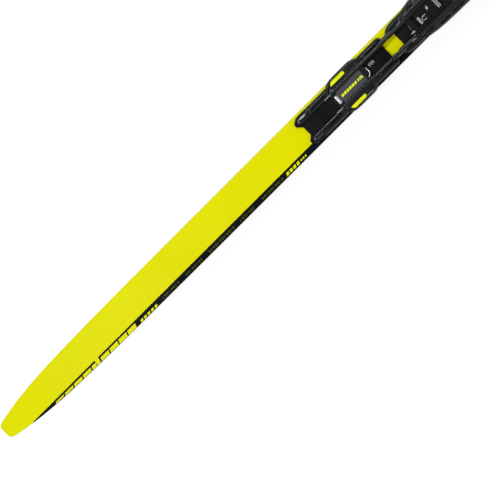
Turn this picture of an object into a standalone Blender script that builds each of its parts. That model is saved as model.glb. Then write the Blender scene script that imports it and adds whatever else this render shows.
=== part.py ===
"""A cross country skating ski with its two mounting plates and a step-in binding.

Every size here is in millimetres: the helpers multiply by MM, so the objects are in
metres. +X runs from the tail to the tip, +Y to the left and +Z up. The origin is on the
floor, under the middle of the ski's length.

The ski's own stations are measured from the tail. The binding's stations are measured
from the rear plate's rear end, and its heights from the ski's flat deck.
"""

import math

import bmesh
import bpy
from mathutils import Matrix, Vector

MM = 0.001
GAP = 0.3

# The ski
SKI_LENGTH = 1710.0
HALF_WAIST = 22.0
REAR_CONTACT = 60.0
FRONT_CONTACT = 1520.0
CAMBER_PEAK = 680.0
CAMBER_HEIGHT = 16.0
CAMBER_FULLNESS = 1.2
TAIL_RISE = 4.0
TIP_RISE = 42.0
DECK_HEIGHT = 42.5
DECK_START = 465.0
DECK_END = 865.0
TIP_THICKNESS = 5.6
SHOVEL_THICKNESS = 7.6

# (distance from the tail, half width)
TAIL_OUTLINE = [
    (0, 6.0), (0.8, 7.6), (2, 9.0), (4, 10.1), (8, 11.3), (14, 12.5), (21, 13.7), (34, 15.7),
    (48, 17.3), (61, 18.5), (90, 20.1), (115, 20.8), (160, 21.5), (205, 21.8), (300, HALF_WAIST),
]
# (distance from the tip, half width)
TIP_OUTLINE = [
    (0, 4.0), (0.8, 6.2), (2, 8.2), (4, 10.2), (8, 12.8), (14, 14.9), (24, 16.8), (36, 18.1),
    (54, 19.2), (80, 20.0), (120, 20.4), (200, 20.5), (700, 21.6), (845, HALF_WAIST),
]
# (distance from the tail, height of the top surface)
TOP_PROFILE = [
    (0, 11.0), (60, 8.8), (160, 15.5), (280, 27.5), (380, 37.4), (DECK_START, DECK_HEIGHT),
    (DECK_END, DECK_HEIGHT), (1000, 38.8), (1150, 29.5), (1300, 19.0), (1430, 11.0),
    (FRONT_CONTACT, SHOVEL_THICKNESS),
]

# The ski's layers
BASE_THICKNESS = 1.6
LAMINATE_THICKNESS = 0.8
TOPSHEET_THICKNESS = 0.9
TOPSHEET_BEVEL = 0.4
SIDEWALL_WIDTH = 3.0
SIDE_INSET = 0.2
GROOVE_DEPTH = 1.0
GROOVE_HALF_WIDTH = 4.5
GROOVE_SLOPE = 1.2
GROOVE_START = 90.0
GROOVE_END = 1530.0
GROOVE_FADE = 40.0
CORE_START = 60.0
CORE_END = 1620.0

# The binding's frame: its zero station on the ski
PLATE_START = 474.5

# Heights above the deck
PAD_LOW, PAD_HIGH = GAP, 0.8
PLATE_LOW = PAD_HIGH + GAP
PLATE_FLOOR = PLATE_LOW + 1.8
LIP_LOW = PLATE_FLOOR + 2.2
PLATE_HIGH = LIP_LOW + 2.0
FOOT_LOW = PLATE_FLOOR + GAP
FOOT_HIGH = LIP_LOW - GAP
BODY_LOW = PLATE_HIGH + GAP
CHANNEL_FLOOR = 8.6
RAIL_TOP = 12.0

# Half widths
SLOT_MOUTH = 9.2
SLOT_INSIDE = 12.3
NECK = SLOT_MOUTH - GAP
FOOT = SLOT_INSIDE - 0.4
RAIL_INNER = 9.2
RAIL_OUTER = 12.8
RAIL_TRIM = 0.15
REAR_PLATE_HALF = 19.2
FRONT_PLATE_HALF = 20.7
HEEL_HALF = 23.2
TOE_HALF = 25.8

# Stations
REAR_PLATE_END = 132.1
WINDOW_END = 150.8
FRONT_PLATE_START = 142.5
FRONT_PLATE_END = 372.0
RAIL_JOINT = 133.0
HEEL_CENTRE_START = 50.5
HEEL_CENTRE_END = 102.5
TOE_CENTRE_START = 167.8
BAR_STATION = 288.0
KNOB_STATION = 342.0

# The fore and aft adjustment: seven places, one rack pitch apart
RACK_PITCH = 4.0
RACK_SLOTS = 7
RACK_STATION = 208.0

# The spiral cam, which turns the knob's quarter turn into the latch's travel
KNOB_TURN = math.radians(90)
LATCH_TRAVEL = 4.0
CAM_START_RADIUS = 3.4
PEG_RADIUS = 0.8
CAM_GROOVE_HALF = PEG_RADIUS + 0.25
SHAFT_RADIUS = 1.5

PARTS = None
CUTTERS = None


# ---------------------------------------------------------------- scene and materials

def clear_scene():
    for obj in list(bpy.data.objects):
        bpy.data.objects.remove(obj)


def make_collection(name):
    collection = bpy.data.collections.new(name)
    bpy.context.scene.collection.children.link(collection)
    return collection


def make_material(name, color, roughness, metallic=0.0):
    material = bpy.data.materials.new(name)
    material.use_nodes = True
    shader = material.node_tree.nodes["Principled BSDF"]
    shader.inputs["Base Color"].default_value = (*color, 1.0)
    shader.inputs["Roughness"].default_value = roughness
    shader.inputs["Metallic"].default_value = metallic
    material.diffuse_color = (*color, 1.0)
    return material


def make_materials():
    return {
        "topsheet": make_material("topsheet_yellow", (0.74, 0.74, 0.002), 0.3),
        "base": make_material("sintered_black_base", (0.012, 0.012, 0.013), 0.45),
        "sidewall": make_material("black_sidewall", (0.010, 0.010, 0.011), 0.4),
        "laminate": make_material("carbon_laminate", (0.015, 0.015, 0.016), 0.35),
        "core": make_material("pale_wood_core", (0.55, 0.40, 0.24), 0.7),
        "spacer": make_material("black_spacer", (0.02, 0.02, 0.02), 0.5),
        "adhesive": make_material("grey_adhesive", (0.25, 0.25, 0.25), 0.8),
        "plate": make_material("black_plate_plastic", (0.010, 0.011, 0.012), 0.45),
        "binding": make_material("black_binding_plastic", (0.014, 0.014, 0.015), 0.38),
        "label": make_material("slate_grey_label", (0.065, 0.07, 0.085), 0.5),
        "insert": make_material("bright_yellow_insert", (0.80, 0.88, 0.002), 0.4),
        "steel": make_material("satin_steel", (0.60, 0.60, 0.62), 0.3, 1.0),
        "rubber": make_material("flexor_rubber", (0.03, 0.03, 0.032), 0.65),
        "bronze": make_material("bronze_bush", (0.55, 0.35, 0.16), 0.4, 1.0),
    }


# ---------------------------------------------------------------- shape helpers

def smooth_curve(points):
    """A function through the points that never overshoots them (monotone cubic)."""
    xs = [p[0] for p in points]
    ys = [p[1] for p in points]
    spans = [b - a for a, b in zip(xs, xs[1:])]
    slopes = [(b - a) / s for a, b, s in zip(ys, ys[1:], spans)]
    tangents = [slopes[0]]
    for i in range(1, len(slopes)):
        before, after = slopes[i - 1], slopes[i]
        if before * after <= 0:
            tangents.append(0.0)
            continue
        w1 = 2 * spans[i] + spans[i - 1]
        w2 = spans[i] + 2 * spans[i - 1]
        tangents.append((w1 + w2) / (w1 / before + w2 / after))
    tangents.append(slopes[-1])

    def value(x):
        x = min(max(x, xs[0]), xs[-1])
        i = 0
        while i < len(spans) - 1 and x > xs[i + 1]:
            i += 1
        t = (x - xs[i]) / spans[i]
        return (
            ys[i] * (1 + 2 * t) * (1 - t) ** 2
            + tangents[i] * spans[i] * t * (1 - t) ** 2
            + ys[i + 1] * t * t * (3 - 2 * t)
            + tangents[i + 1] * spans[i] * t * t * (t - 1)
        )

    return value


def mirrored(half):
    """A closed outline from its +Y half, listed from the centre line back to the centre line.
    The points are (x, y): y changes sign."""
    return half + [(x, -y) for x, y in reversed(half) if abs(y) > 1e-9]


def mirrored_section(half):
    """The same for a section, whose points are (y, z)."""
    return half + [(-y, z) for y, z in reversed(half) if abs(y) > 1e-9]


def arc(centre, radius, start_deg, end_deg, count):
    """Points round an arc, both ends included."""
    steps = [start_deg + (end_deg - start_deg) * i / (count - 1) for i in range(count)]
    return [
        (
            centre[0] + radius * math.cos(math.radians(a)),
            centre[1] + radius * math.sin(math.radians(a)),
        )
        for a in steps
    ]


def rounded_slot(start, end, half_width, count=7):
    """The outline of a slot along X with round ends. start and end are its round ends' centres."""
    return arc((end, 0), half_width, -90, 90, count) + arc((start, 0), half_width, 90, 270, count)


def add_object(name, mesh, material=None):
    """Adds a part, or a cutter where it has no material."""
    obj = bpy.data.objects.new(name, mesh)
    if material is None:
        CUTTERS.objects.link(obj)
        obj.hide_render = True
        obj.display_type = "WIRE"
    else:
        PARTS.objects.link(obj)
        obj.data.materials.append(material)
    return obj


def finish_mesh(name, bm, smooth=False):
    bmesh.ops.remove_doubles(bm, verts=bm.verts, dist=1e-7)
    bmesh.ops.recalc_face_normals(bm, faces=bm.faces)
    for face in bm.faces:
        face.smooth = smooth
    mesh = bpy.data.meshes.new(name)
    bm.to_mesh(mesh)
    bm.free()
    if smooth:
        mesh.set_sharp_from_angle(angle=math.radians(40))
    return mesh


BINDING_FRAME = Matrix.Translation(
    Vector((PLATE_START - SKI_LENGTH / 2, 0, DECK_HEIGHT)) * MM
)
# Where an outline's own X, Y and extrusion directions point, for each direction it is extruded in
OUTLINE_AXES = {
    "Z": Matrix.Identity(4),
    "X": Matrix(((0, 0, 1, 0), (1, 0, 0, 0), (0, 1, 0, 0), (0, 0, 0, 1))),
    "Y": Matrix(((1, 0, 0, 0), (0, 0, -1, 0), (0, 1, 0, 0), (0, 0, 0, 1))),
}


def prism(name, outline, low, high, axis="Z", material=None):
    """Extrudes a flat outline from low to high along an axis of the binding's frame. Its points
    are (x, y) for an extrusion along Z, (y, z) along X and (x, z) along Y."""
    curve = bpy.data.curves.new(name, "CURVE")
    curve.dimensions = "2D"
    curve.fill_mode = "BOTH"
    curve.extrude = (high - low) / 2 * MM
    spline = curve.splines.new("POLY")
    spline.points.add(len(outline) - 1)
    for point, (a, b) in zip(spline.points, outline):
        point.co = (a * MM, b * MM, 0, 1)
    spline.use_cyclic_u = True
    guide = bpy.data.objects.new(name + "_outline", curve)
    CUTTERS.objects.link(guide)
    graph = bpy.context.evaluated_depsgraph_get()
    flat = bpy.data.meshes.new_from_object(guide.evaluated_get(graph))
    bpy.data.objects.remove(guide)

    middle = {"X": (1, 0, 0), "Y": (0, 1, 0), "Z": (0, 0, 1)}[axis]
    place = Matrix.Translation(Vector(middle) * ((low + high) / 2 * MM))
    flat.transform(BINDING_FRAME @ place @ OUTLINE_AXES[axis])
    bm = bmesh.new()
    bm.from_mesh(flat)
    bpy.data.meshes.remove(flat)
    return add_object(name, finish_mesh(name, bm), material)


def box(name, x, y, z, material=None):
    """A block of the binding's frame; x, y and z are (low, high)."""
    bm = bmesh.new()
    bmesh.ops.create_cube(bm, size=1)
    size = Vector([high - low for low, high in (x, y, z)]) * MM
    centre = Vector([(high + low) / 2 for low, high in (x, y, z)]) * MM
    place = Matrix.Translation(centre) @ Matrix.Diagonal((*size, 1))
    bm.transform(BINDING_FRAME @ place)
    return add_object(name, finish_mesh(name, bm), material)


def cylinder(name, centre, radius, low, high, axis="Z", segments=20, top_radius=None, material=None):
    """A round bar from low to high along the axis, through the point centre, which has two
    numbers: (x, y) for a bar along Z and (x, z) for one along Y."""
    bm = bmesh.new()
    bmesh.ops.create_cone(
        bm, cap_ends=True, segments=segments, radius1=radius * MM,
        radius2=(radius if top_radius is None else top_radius) * MM, depth=(high - low) * MM,
    )
    middle = (low + high) / 2
    if axis == "Z":
        place = Matrix.Translation(Vector((centre[0], centre[1], middle)) * MM)
    else:
        place = Matrix.Translation(Vector((centre[0], middle, centre[1])) * MM)
        place = place @ Matrix.Rotation(math.radians(-90), 4, "X")
    bm.transform(BINDING_FRAME @ place)
    return add_object(name, finish_mesh(name, bm, smooth=True), material)


def combine(target, operation, *others):
    for other in others:
        modifier = target.modifiers.new(other.name, "BOOLEAN")
        modifier.operation = operation
        modifier.solver = "EXACT"
        modifier.object = other
    return target


def cut(target, *cutters):
    return combine(target, "DIFFERENCE", *cutters)


def join(target, *others):
    return combine(target, "UNION", *others)


def loft(name, rings, material):
    """A closed skin through rings of points that have the same count, with flat ends."""
    bm = bmesh.new()
    loops = [[bm.verts.new(Vector(p) * MM) for p in ring] for ring in rings]
    for first, second in zip(loops, loops[1:]):
        for i in range(len(first)):
            j = (i + 1) % len(first)
            bm.faces.new((first[i], first[j], second[j], second[i]))
    bm.faces.new(reversed(loops[0]))
    bm.faces.new(loops[-1])
    return add_object(name, finish_mesh(name, bm, smooth=True), material)


def set_origin(obj, station, y, height):
    """Moves an object's origin to a point of the binding's frame without moving its shape."""
    point = BINDING_FRAME @ (Vector((station, y, height)) * MM)
    obj.data.transform(Matrix.Translation(-point))
    obj.location = point
    return obj


def make_empty(name, station, y, height, parent=None):
    empty = bpy.data.objects.new(name, None)
    empty.empty_display_size = 0.02
    PARTS.objects.link(empty)
    empty.location = BINDING_FRAME @ (Vector((station, y, height)) * MM)
    attach(empty, parent)
    return empty


def world_place(obj):
    place = obj.location.copy()
    while obj.parent is not None:
        obj = obj.parent
        place += obj.location
    return place


def attach(obj, parent):
    """Parents an object to an empty and keeps it where it is. Only locations differ here."""
    if parent is not None:
        obj.location = obj.location - world_place(parent)
        obj.parent = parent
    return obj


# ---------------------------------------------------------------- the ski's shape

tail_half_width = smooth_curve(TAIL_OUTLINE)
tip_half_width = smooth_curve(TIP_OUTLINE)
top_profile = smooth_curve(TOP_PROFILE)


def half_width(d):
    """Half the ski's width at a distance d from the tail."""
    return min(tail_half_width(d), tip_half_width(SKI_LENGTH - d))


def base_height(d):
    """The running surface's height: a tail rise, the camber's arch and the tip's curve."""
    if d < REAR_CONTACT:
        return TAIL_RISE * (1 - d / REAR_CONTACT) ** 2
    if d > FRONT_CONTACT:
        return TIP_RISE * ((d - FRONT_CONTACT) / (SKI_LENGTH - FRONT_CONTACT)) ** 2
    end = REAR_CONTACT if d < CAMBER_PEAK else FRONT_CONTACT
    share = (d - end) / (CAMBER_PEAK - end)
    return CAMBER_HEIGHT * math.sin(math.pi / 2 * share) ** CAMBER_FULLNESS


def top_height(d):
    if d <= FRONT_CONTACT:
        return top_profile(d)
    share = (d - FRONT_CONTACT) / (SKI_LENGTH - FRONT_CONTACT)
    return base_height(d) + SHOVEL_THICKNESS + (TIP_THICKNESS - SHOVEL_THICKNESS) * share


def groove_share(d):
    """How deep the base's guide groove is at d, from 0 to 1."""
    ends = min(d - GROOVE_START, GROOVE_END - d) / GROOVE_FADE
    share = min(max(ends, 0), 1)
    return share * share * (3 - 2 * share)


def stations(start, end):
    """Distances from the tail at which the ski's layers are lofted: close together at the
    rounded ends, and wide apart in the long straight middle."""
    near_tail = [0, 0.8, 2, 4, 8, 14, 24, 36, 48, 60, 90, 120, 160, 220, 290, 370, DECK_START]
    middle = [530, 600, 680, 770, DECK_END, 930, 1000, 1080, 1160, 1240, 1320, 1400, 1460]
    near_tip = [190, 165, 140, 115, 90, 70, 54, 36, 24, 14, 8, 4, 2, 0.8, 0]
    every = near_tail + middle + [SKI_LENGTH - d for d in near_tip]
    inside = [d for d in every if start + 1e-6 < d < end - 1e-6]
    return [start, *inside, end]


def ski_point(d, y, z):
    return (d - SKI_LENGTH / 2, y, z)


def layer(name, start, end, section, material):
    """Lofts one of the ski's layers. section(d) gives its outline at d as (y, z) points."""
    rings = [[ski_point(d, y, z) for y, z in section(d)] for d in stations(start, end)]
    return loft(name, rings, material)


def strip_section(inset, low_above_base, high_below_top):
    """The section of a layer that reaches from side to side."""

    def section(d):
        w = half_width(d) - inset
        low = base_height(d) + low_above_base
        high = top_height(d) - high_below_top
        return [(-w, low), (w, low), (w, high), (-w, high)]

    return section


def base_section(d):
    w = half_width(d)
    low = base_height(d)
    roof = low + GROOVE_DEPTH * groove_share(d)
    outer = min(GROOVE_HALF_WIDTH, w * 0.6)
    inner = outer * (1 - GROOVE_SLOPE / GROOVE_HALF_WIDTH)
    high = low + BASE_THICKNESS
    return [
        (-w, low), (-outer, low), (-inner, roof), (inner, roof), (outer, low), (w, low),
        (w, high), (-w, high),
    ]


def topsheet_section(d):
    w = half_width(d) - SIDE_INSET / 2
    high = top_height(d)
    low = high - TOPSHEET_THICKNESS
    bevel = high - TOPSHEET_BEVEL
    flat = w - TOPSHEET_BEVEL
    return [(-w, low), (w, low), (w, bevel), (flat, high), (-flat, high), (-w, bevel)]


def make_ski(materials):
    """The ski's bonded layers, from the running base up to the printed top sheet."""
    under_laminate = BASE_THICKNESS + GAP
    over_laminate = TOPSHEET_THICKNESS + GAP
    under_core = under_laminate + LAMINATE_THICKNESS + GAP
    over_core = over_laminate + LAMINATE_THICKNESS + GAP

    def side_section(sign):
        def section(d):
            outer = half_width(d) - SIDE_INSET
            inner = outer - SIDEWALL_WIDTH
            low = base_height(d) + under_core
            high = top_height(d) - over_core
            points = [(inner, low), (outer, low), (outer, high), (inner, high)]
            return [(sign * y, z) for y, z in points]

        return section

    def laminate(name, lower):
        def section(d):
            w = half_width(d) - SIDE_INSET
            if lower:
                low = base_height(d) + under_laminate
            else:
                low = top_height(d) - over_laminate - LAMINATE_THICKNESS
            high = low + LAMINATE_THICKNESS
            return [(-w, low), (w, low), (w, high), (-w, high)]

        return layer(name, CORE_START, CORE_END, section, materials["laminate"])

    core_section = strip_section(SIDE_INSET + SIDEWALL_WIDTH + GAP, under_core, over_core)
    spacer_section = strip_section(SIDE_INSET, under_laminate, over_laminate)
    return [
        layer("running_base", 0, SKI_LENGTH, base_section, materials["base"]),
        layer("topsheet", 0, SKI_LENGTH, topsheet_section, materials["topsheet"]),
        layer("wood_core", CORE_START, CORE_END, core_section, materials["core"]),
        layer("sidewall_left", CORE_START, CORE_END, side_section(1), materials["sidewall"]),
        layer("sidewall_right", CORE_START, CORE_END, side_section(-1), materials["sidewall"]),
        laminate("lower_laminate", lower=True),
        laminate("upper_laminate", lower=False),
        layer("tail_spacer", 0.3, CORE_START - GAP, spacer_section, materials["spacer"]),
        layer("tip_spacer", CORE_END + GAP, SKI_LENGTH - 0.3, spacer_section, materials["spacer"]),
    ]


# ---------------------------------------------------------------- the mounting plates

def plate_section(half):
    """A plate's section: a floor, and on each side a ridge whose inner lip makes a T-slot."""
    return mirrored_section([
        (0, PLATE_LOW), (half, PLATE_LOW), (half, PLATE_LOW + 2.2), (half - 2.4, PLATE_HIGH),
        (SLOT_MOUTH, PLATE_HIGH), (SLOT_MOUTH, LIP_LOW), (SLOT_INSIDE, LIP_LOW),
        (SLOT_INSIDE, PLATE_FLOOR), (0, PLATE_FLOOR),
    ])


def make_rear_plate(materials):
    plate = prism(
        "rear_plate", plate_section(REAR_PLATE_HALF), -1, 138, "X", materials["plate"]
    )
    outline = mirrored([
        (5.7, 0), (5.7, 5.8), (3.0, 8.4), (0, 10.8), (0.2, 14.4), (5.7, 20),
        (REAR_PLATE_END + 0.2, 20), (REAR_PLATE_END + 4.4, 14.9), (REAR_PLATE_END + 4.4, 9.0),
        (REAR_PLATE_END, 8.6), (REAR_PLATE_END, 0),
    ])
    combine(plate, "INTERSECT", prism("rear_plate_plan", outline, 0, 9))
    return plate


def rack_stations():
    middle = (RACK_SLOTS - 1) / 2
    return [RACK_STATION + (i - middle) * RACK_PITCH for i in range(RACK_SLOTS)]


def make_front_plate(materials):
    """The front plate also has the rack that the binding's lock tooth drops into."""
    plate = prism(
        "front_plate", plate_section(FRONT_PLATE_HALF), 140, 374, "X", materials["plate"]
    )
    outline = mirrored([
        (WINDOW_END, 0), (WINDOW_END, 8.6), (FRONT_PLATE_START, 9.0), (FRONT_PLATE_START, 14.9),
        (145.6, 17.2), (149.5, 19.4), (156, 21.5), (362, 21.5), (FRONT_PLATE_END - 3, 18), (FRONT_PLATE_END, 11),
        (FRONT_PLATE_END - 3, 8.6), (FRONT_PLATE_END - 3, 0),
    ])
    combine(plate, "INTERSECT", prism("front_plate_plan", outline, 0, 9))
    for i, station in enumerate(rack_stations()):
        slot = box(
            f"rack_slot_{i}", (station - 1, station + 1), (-6, 6), (PLATE_FLOOR - 1.2, 4)
        )
        cut(plate, slot)
    return plate


def make_adhesive_pads(materials):
    """The double-sided films that hold the two plates on the top sheet."""
    rear = mirrored([(8, 0), (8, 17), (REAR_PLATE_END - 2, 17), (REAR_PLATE_END - 2, 0)])
    front = mirrored([(152, 0), (152, 18.5), (366, 18.5), (366, 0)])
    return [
        prism("rear_adhesive_film", rear, PAD_LOW, PAD_HIGH, "Z", materials["adhesive"]),
        prism("front_adhesive_film", front, PAD_LOW, PAD_HIGH, "Z", materials["adhesive"]),
    ]


# ---------------------------------------------------------------- the heel half

# (station, half width) of the heel piece's wing, from its rear prong to its rail
HEEL_WING = [
    (42.8, RAIL_INNER + RAIL_TRIM), (42.8, 10.4), (48, 13.2), (52.5, 16.2), (57.0, 20.0), (60.5, 21.9), (66, 22.8),
    (76, HEEL_HALF), (92, HEEL_HALF), (96, 22.4), (100, 20.6), (104, 18.0), (109, 15.6),
    (115, 13.7), (121, RAIL_OUTER - RAIL_TRIM), (RAIL_JOINT, RAIL_OUTER - RAIL_TRIM),
]
WING_INSERT = [
    (58.7, 15.9), (60.0, 18.2), (62.4, 19.9), (79.6, 19.9), (81.1, 17.4), (79.8, 15.9),
]
TONGUE_PIVOT = (63.0, 5.9)
TONGUE_PIN_RADIUS = 0.7


def heel_section():
    return mirrored_section([
        (0, FOOT_LOW), (FOOT, FOOT_LOW), (FOOT, FOOT_HIGH), (NECK, FOOT_HIGH),
        (NECK, BODY_LOW), (17.5, BODY_LOW), (19.9, 3.6), (19.9, 2.2), (HEEL_HALF + 0.1, 2.2),
        (HEEL_HALF + 0.1, 6.2), (21.0, 8.8), (RAIL_OUTER, 10.0), (RAIL_OUTER, RAIL_TOP),
        (RAIL_INNER, RAIL_TOP), (RAIL_INNER, CHANNEL_FLOOR), (0, CHANNEL_FLOOR),
    ])


def insert_outline(sign, margin=0.0):
    """The wing insert's outline, or its pocket's, which is larger all round by the margin."""
    centre_x = sum(x for x, _ in WING_INSERT) / len(WING_INSERT)
    centre_y = sum(y for _, y in WING_INSERT) / len(WING_INSERT)
    return [
        (x + math.copysign(margin, x - centre_x), sign * (y + math.copysign(margin, y - centre_y)))
        for x, y in WING_INSERT
    ]


def make_heel_base(materials):
    base = prism("heel_base", heel_section(), 42, 134, "X", materials["binding"])
    outline = mirrored(
        [(HEEL_CENTRE_START, 0), (HEEL_CENTRE_START, RAIL_INNER + RAIL_TRIM), *HEEL_WING,
         (RAIL_JOINT, RAIL_INNER + RAIL_TRIM), (104.5, RAIL_INNER + RAIL_TRIM),
         (HEEL_CENTRE_END - 4.5, 7.6),
         (HEEL_CENTRE_END, 4.0), (HEEL_CENTRE_END, 0)]
    )
    combine(base, "INTERSECT", prism("heel_plan", outline, 0, 20))
    prong_foot = box("prong_foot_cut", (40, 52), (-15, 15), (2, 6))
    rail_foot = box("rail_foot_cut", (103.6, 140), (-15, 15), (2, 6))
    label_pocket = box("label_pocket", (57.5, 94.3), (-8.1, 8.1), (7.7, 9))
    tongue_pocket = box("tongue_pocket", (48, 68), (-5.6, 5.6), (3.85, 9))
    bore_radius = TONGUE_PIN_RADIUS + GAP
    pin_bore = cylinder("tongue_pin_bore", TONGUE_PIVOT, bore_radius, -8.2, 8.2, "Y", 12)
    cut(base, prong_foot, rail_foot, label_pocket, tongue_pocket, pin_bore)
    for side, sign in (("left", 1), ("right", -1)):
        cut(base, prism(f"insert_pocket_{side}", insert_outline(sign, GAP), 8.0, 12))
    return base


def make_wing_inserts(materials):
    return [
        prism(f"wing_insert_{side}", insert_outline(sign), 8.3, 9.8, "Z", materials["insert"])
        for side, sign in (("left", 1), ("right", -1))
    ]


def make_heel_label(materials):
    return box("heel_label_plate", (57.8, 94.0), (-7.8, 7.8), (8.0, 9.4), materials["label"])


def make_heel_tongue(materials):
    """The sprung steel tab at the heel, which lifts to free the heel piece."""
    side = [
        (52.3, 4.8), (65.0, 4.8), (65.0, 7.2), (61.2, 7.2), (57.4, 6.4), (56.6, 6.4), (56.6, 9.2),
        (52.3, 9.2),
    ]
    tongue = prism("heel_tongue", side, -5.2, 5.2, "Y", materials["steel"])
    cut(tongue, cylinder("tongue_bore", TONGUE_PIVOT, TONGUE_PIN_RADIUS + GAP, -8, 8, "Y", 12))
    set_origin(tongue, TONGUE_PIVOT[0], 0, TONGUE_PIVOT[1])
    return tongue


def make_heel_tongue_pin(materials):
    return cylinder(
        "heel_tongue_pin", TONGUE_PIVOT, TONGUE_PIN_RADIUS, -7.9, 7.9, "Y", 12,
        material=materials["steel"],
    )


def make_tongue_spring(materials):
    """The leaf that presses the tongue's front end up and so keeps its tab down."""
    return box("tongue_leaf_spring", (55.5, 66.6), (-3, 3), (4.15, 4.35), materials["steel"])


def wire(name, points, radius, material, resolution=2):
    """A round wire along a line of points of the binding's frame."""
    curve = bpy.data.curves.new(name, "CURVE")
    curve.dimensions = "3D"
    curve.bevel_depth = radius * MM
    curve.bevel_resolution = resolution
    curve.use_fill_caps = True
    spline = curve.splines.new("POLY")
    spline.points.add(len(points) - 1)
    for point, p in zip(spline.points, points):
        point.co = (*(BINDING_FRAME @ (Vector(p) * MM)), 1)
    obj = bpy.data.objects.new(name, curve)
    PARTS.objects.link(obj)
    curve.materials.append(material)
    return obj


def make_heel_wire_clip(materials):
    """A bent wire that lies on the heel piece's front edge and grips the plate's channel."""
    height = CHANNEL_FLOOR + 0.9
    points = [
        (96.4, 3.6, height), (99.9, 3.4, height), (100.9, 2.6, height), (100.9, -3.0, height),
        (99.6, -4.6, height), (96.8, -6.6, height),
    ]
    return wire("heel_wire_clip", points, 0.6, materials["steel"])


def make_rail_couplers(materials):
    """The clips that join the heel piece's rails to the toe piece's."""
    couplers = []
    for side, sign in (("left", 1), ("right", -1)):
        inner, outer = RAIL_INNER - 0.9, RAIL_OUTER + 0.9
        wall = 0.6
        section = [
            (inner, BODY_LOW + 0.3), (inner + wall, BODY_LOW + 0.3), (inner + wall, RAIL_TOP + GAP),
            (outer - wall, RAIL_TOP + GAP), (outer - wall, BODY_LOW + 0.3),
            (outer, BODY_LOW + 0.3), (outer, RAIL_TOP + GAP + wall), (inner, RAIL_TOP + GAP + wall),
        ]
        section = [(sign * y, z) for y, z in section]
        couplers.append(
            prism(f"rail_coupler_{side}", section, 128.6, 138.0, "X", materials["binding"])
        )
    return couplers


# ---------------------------------------------------------------- the toe half

# (station, half width) of the toe piece's side, from its rail to the nose's arc
TOE_WING = [
    (RAIL_JOINT + GAP, RAIL_OUTER - RAIL_TRIM), (156, RAIL_OUTER - RAIL_TRIM), (160, 13.8), (165, 16.0), (170, 18.8),
    (176, 21.6), (183, 23.0), (190, 24.1), (207, 25.0), (225, 25.5), (248, TOE_HALF),
    (264, 25.4), (276, 24.0), (290, 21.6), (304, 20.0), (322, 19.0),
]
NOSE_RADIUS = 19.0
RAIL_GROOVE = (10.9, 13.0)
LOCK_PIVOT = (197.0, 5.6)
LOCK_PIN_RADIUS = 1.0
LOCK_OPENING = (175.5, 214.0)
LOCK_OPENING_HALF = 7.4
SIDE_RIVET = (224.0, 12.0)
SIDE_RIVET_RADIUS = 0.8
JAW_SCREW = (282.0, 5.6)


def toe_section():
    return mirrored_section([
        (0, FOOT_LOW), (FOOT, FOOT_LOW), (FOOT, FOOT_HIGH), (NECK, FOOT_HIGH),
        (NECK, BODY_LOW), (18.8, BODY_LOW), (21.4, 3.9), (21.4, 1.6), (TOE_HALF + 0.1, 1.6),
        (TOE_HALF + 0.1, 4.8), (23.4, 8.2), (17.5, 9.6), (RAIL_OUTER, 10.0),
        (RAIL_OUTER, RAIL_TOP), (RAIL_INNER, RAIL_TOP), (RAIL_INNER, CHANNEL_FLOOR),
        (0, CHANNEL_FLOOR),
    ])


def make_toe_base(materials):
    base = prism("toe_base", toe_section(), 132, 362, "X", materials["binding"])
    nose = arc((KNOB_STATION, 0), NOSE_RADIUS, 90, 0, 9)
    outline = mirrored(
        [(TOE_CENTRE_START, 0), (TOE_CENTRE_START, RAIL_INNER + RAIL_TRIM),
         (RAIL_JOINT + GAP, RAIL_INNER + RAIL_TRIM), *TOE_WING, *nose]
    )
    combine(base, "INTERSECT", prism("toe_plan", outline, 0, 20))
    rail_foot = box("toe_rail_foot_cut", (130, 169), (-15, 15), (2, 6))
    lock_opening = box(
        "lock_opening", LOCK_OPENING, (-LOCK_OPENING_HALF, LOCK_OPENING_HALF), (0, 10)
    )
    pin_bore = cylinder("lock_pin_bore", LOCK_PIVOT, LOCK_PIN_RADIUS + GAP, -8.4, 8.4, "Y", 12)
    for side, sign in (("left", 1), ("right", -1)):
        groove = tuple(sorted((sign * RAIL_GROOVE[0], sign * RAIL_GROOVE[1])))
        cut(base, box(f"rail_groove_{side}", (170, 262), groove, (9.0, 14)))
    # The guide rails stop short of the jaw, where the boot's toe comes down
    rail_gap = box("rail_gap", (273, 297), (-30, 30), (10.2, 20))
    shaft_bore = cylinder("bush_bore", (KNOB_STATION, 0), 3.2, 2, 10, segments=24)
    clip_recess = cylinder("clip_recess", (KNOB_STATION, 0), 4.4, 2, 4.6, segments=24)
    stem_socket = box("stem_socket", (305.5, 316.5), (-2.9, 2.9), (6.2, 10))
    cut(base, rail_foot, lock_opening, pin_bore, rail_gap, shaft_bore, clip_recess, stem_socket)
    for side, sign in (("left", 1), ("right", -1)):
        ear = [(299, 12.9), (321, 12.9), (320, 16.0), (301, 16.4)]
        join(base, prism(f"flexor_ear_{side}", [(x, sign * y) for x, y in ear], 8.8, 15.2))
        screw = (JAW_SCREW[0], sign * JAW_SCREW[1])
        rivet = (SIDE_RIVET[0], sign * SIDE_RIVET[1])
        cut(
            base, cylinder(f"jaw_screw_bore_{side}", screw, 1.5, 4.2, 10, segments=12),
            cylinder(f"rivet_bore_{side}", rivet, SIDE_RIVET_RADIUS + 0.2, 7.9, 14, segments=12),
        )
    return base


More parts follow.
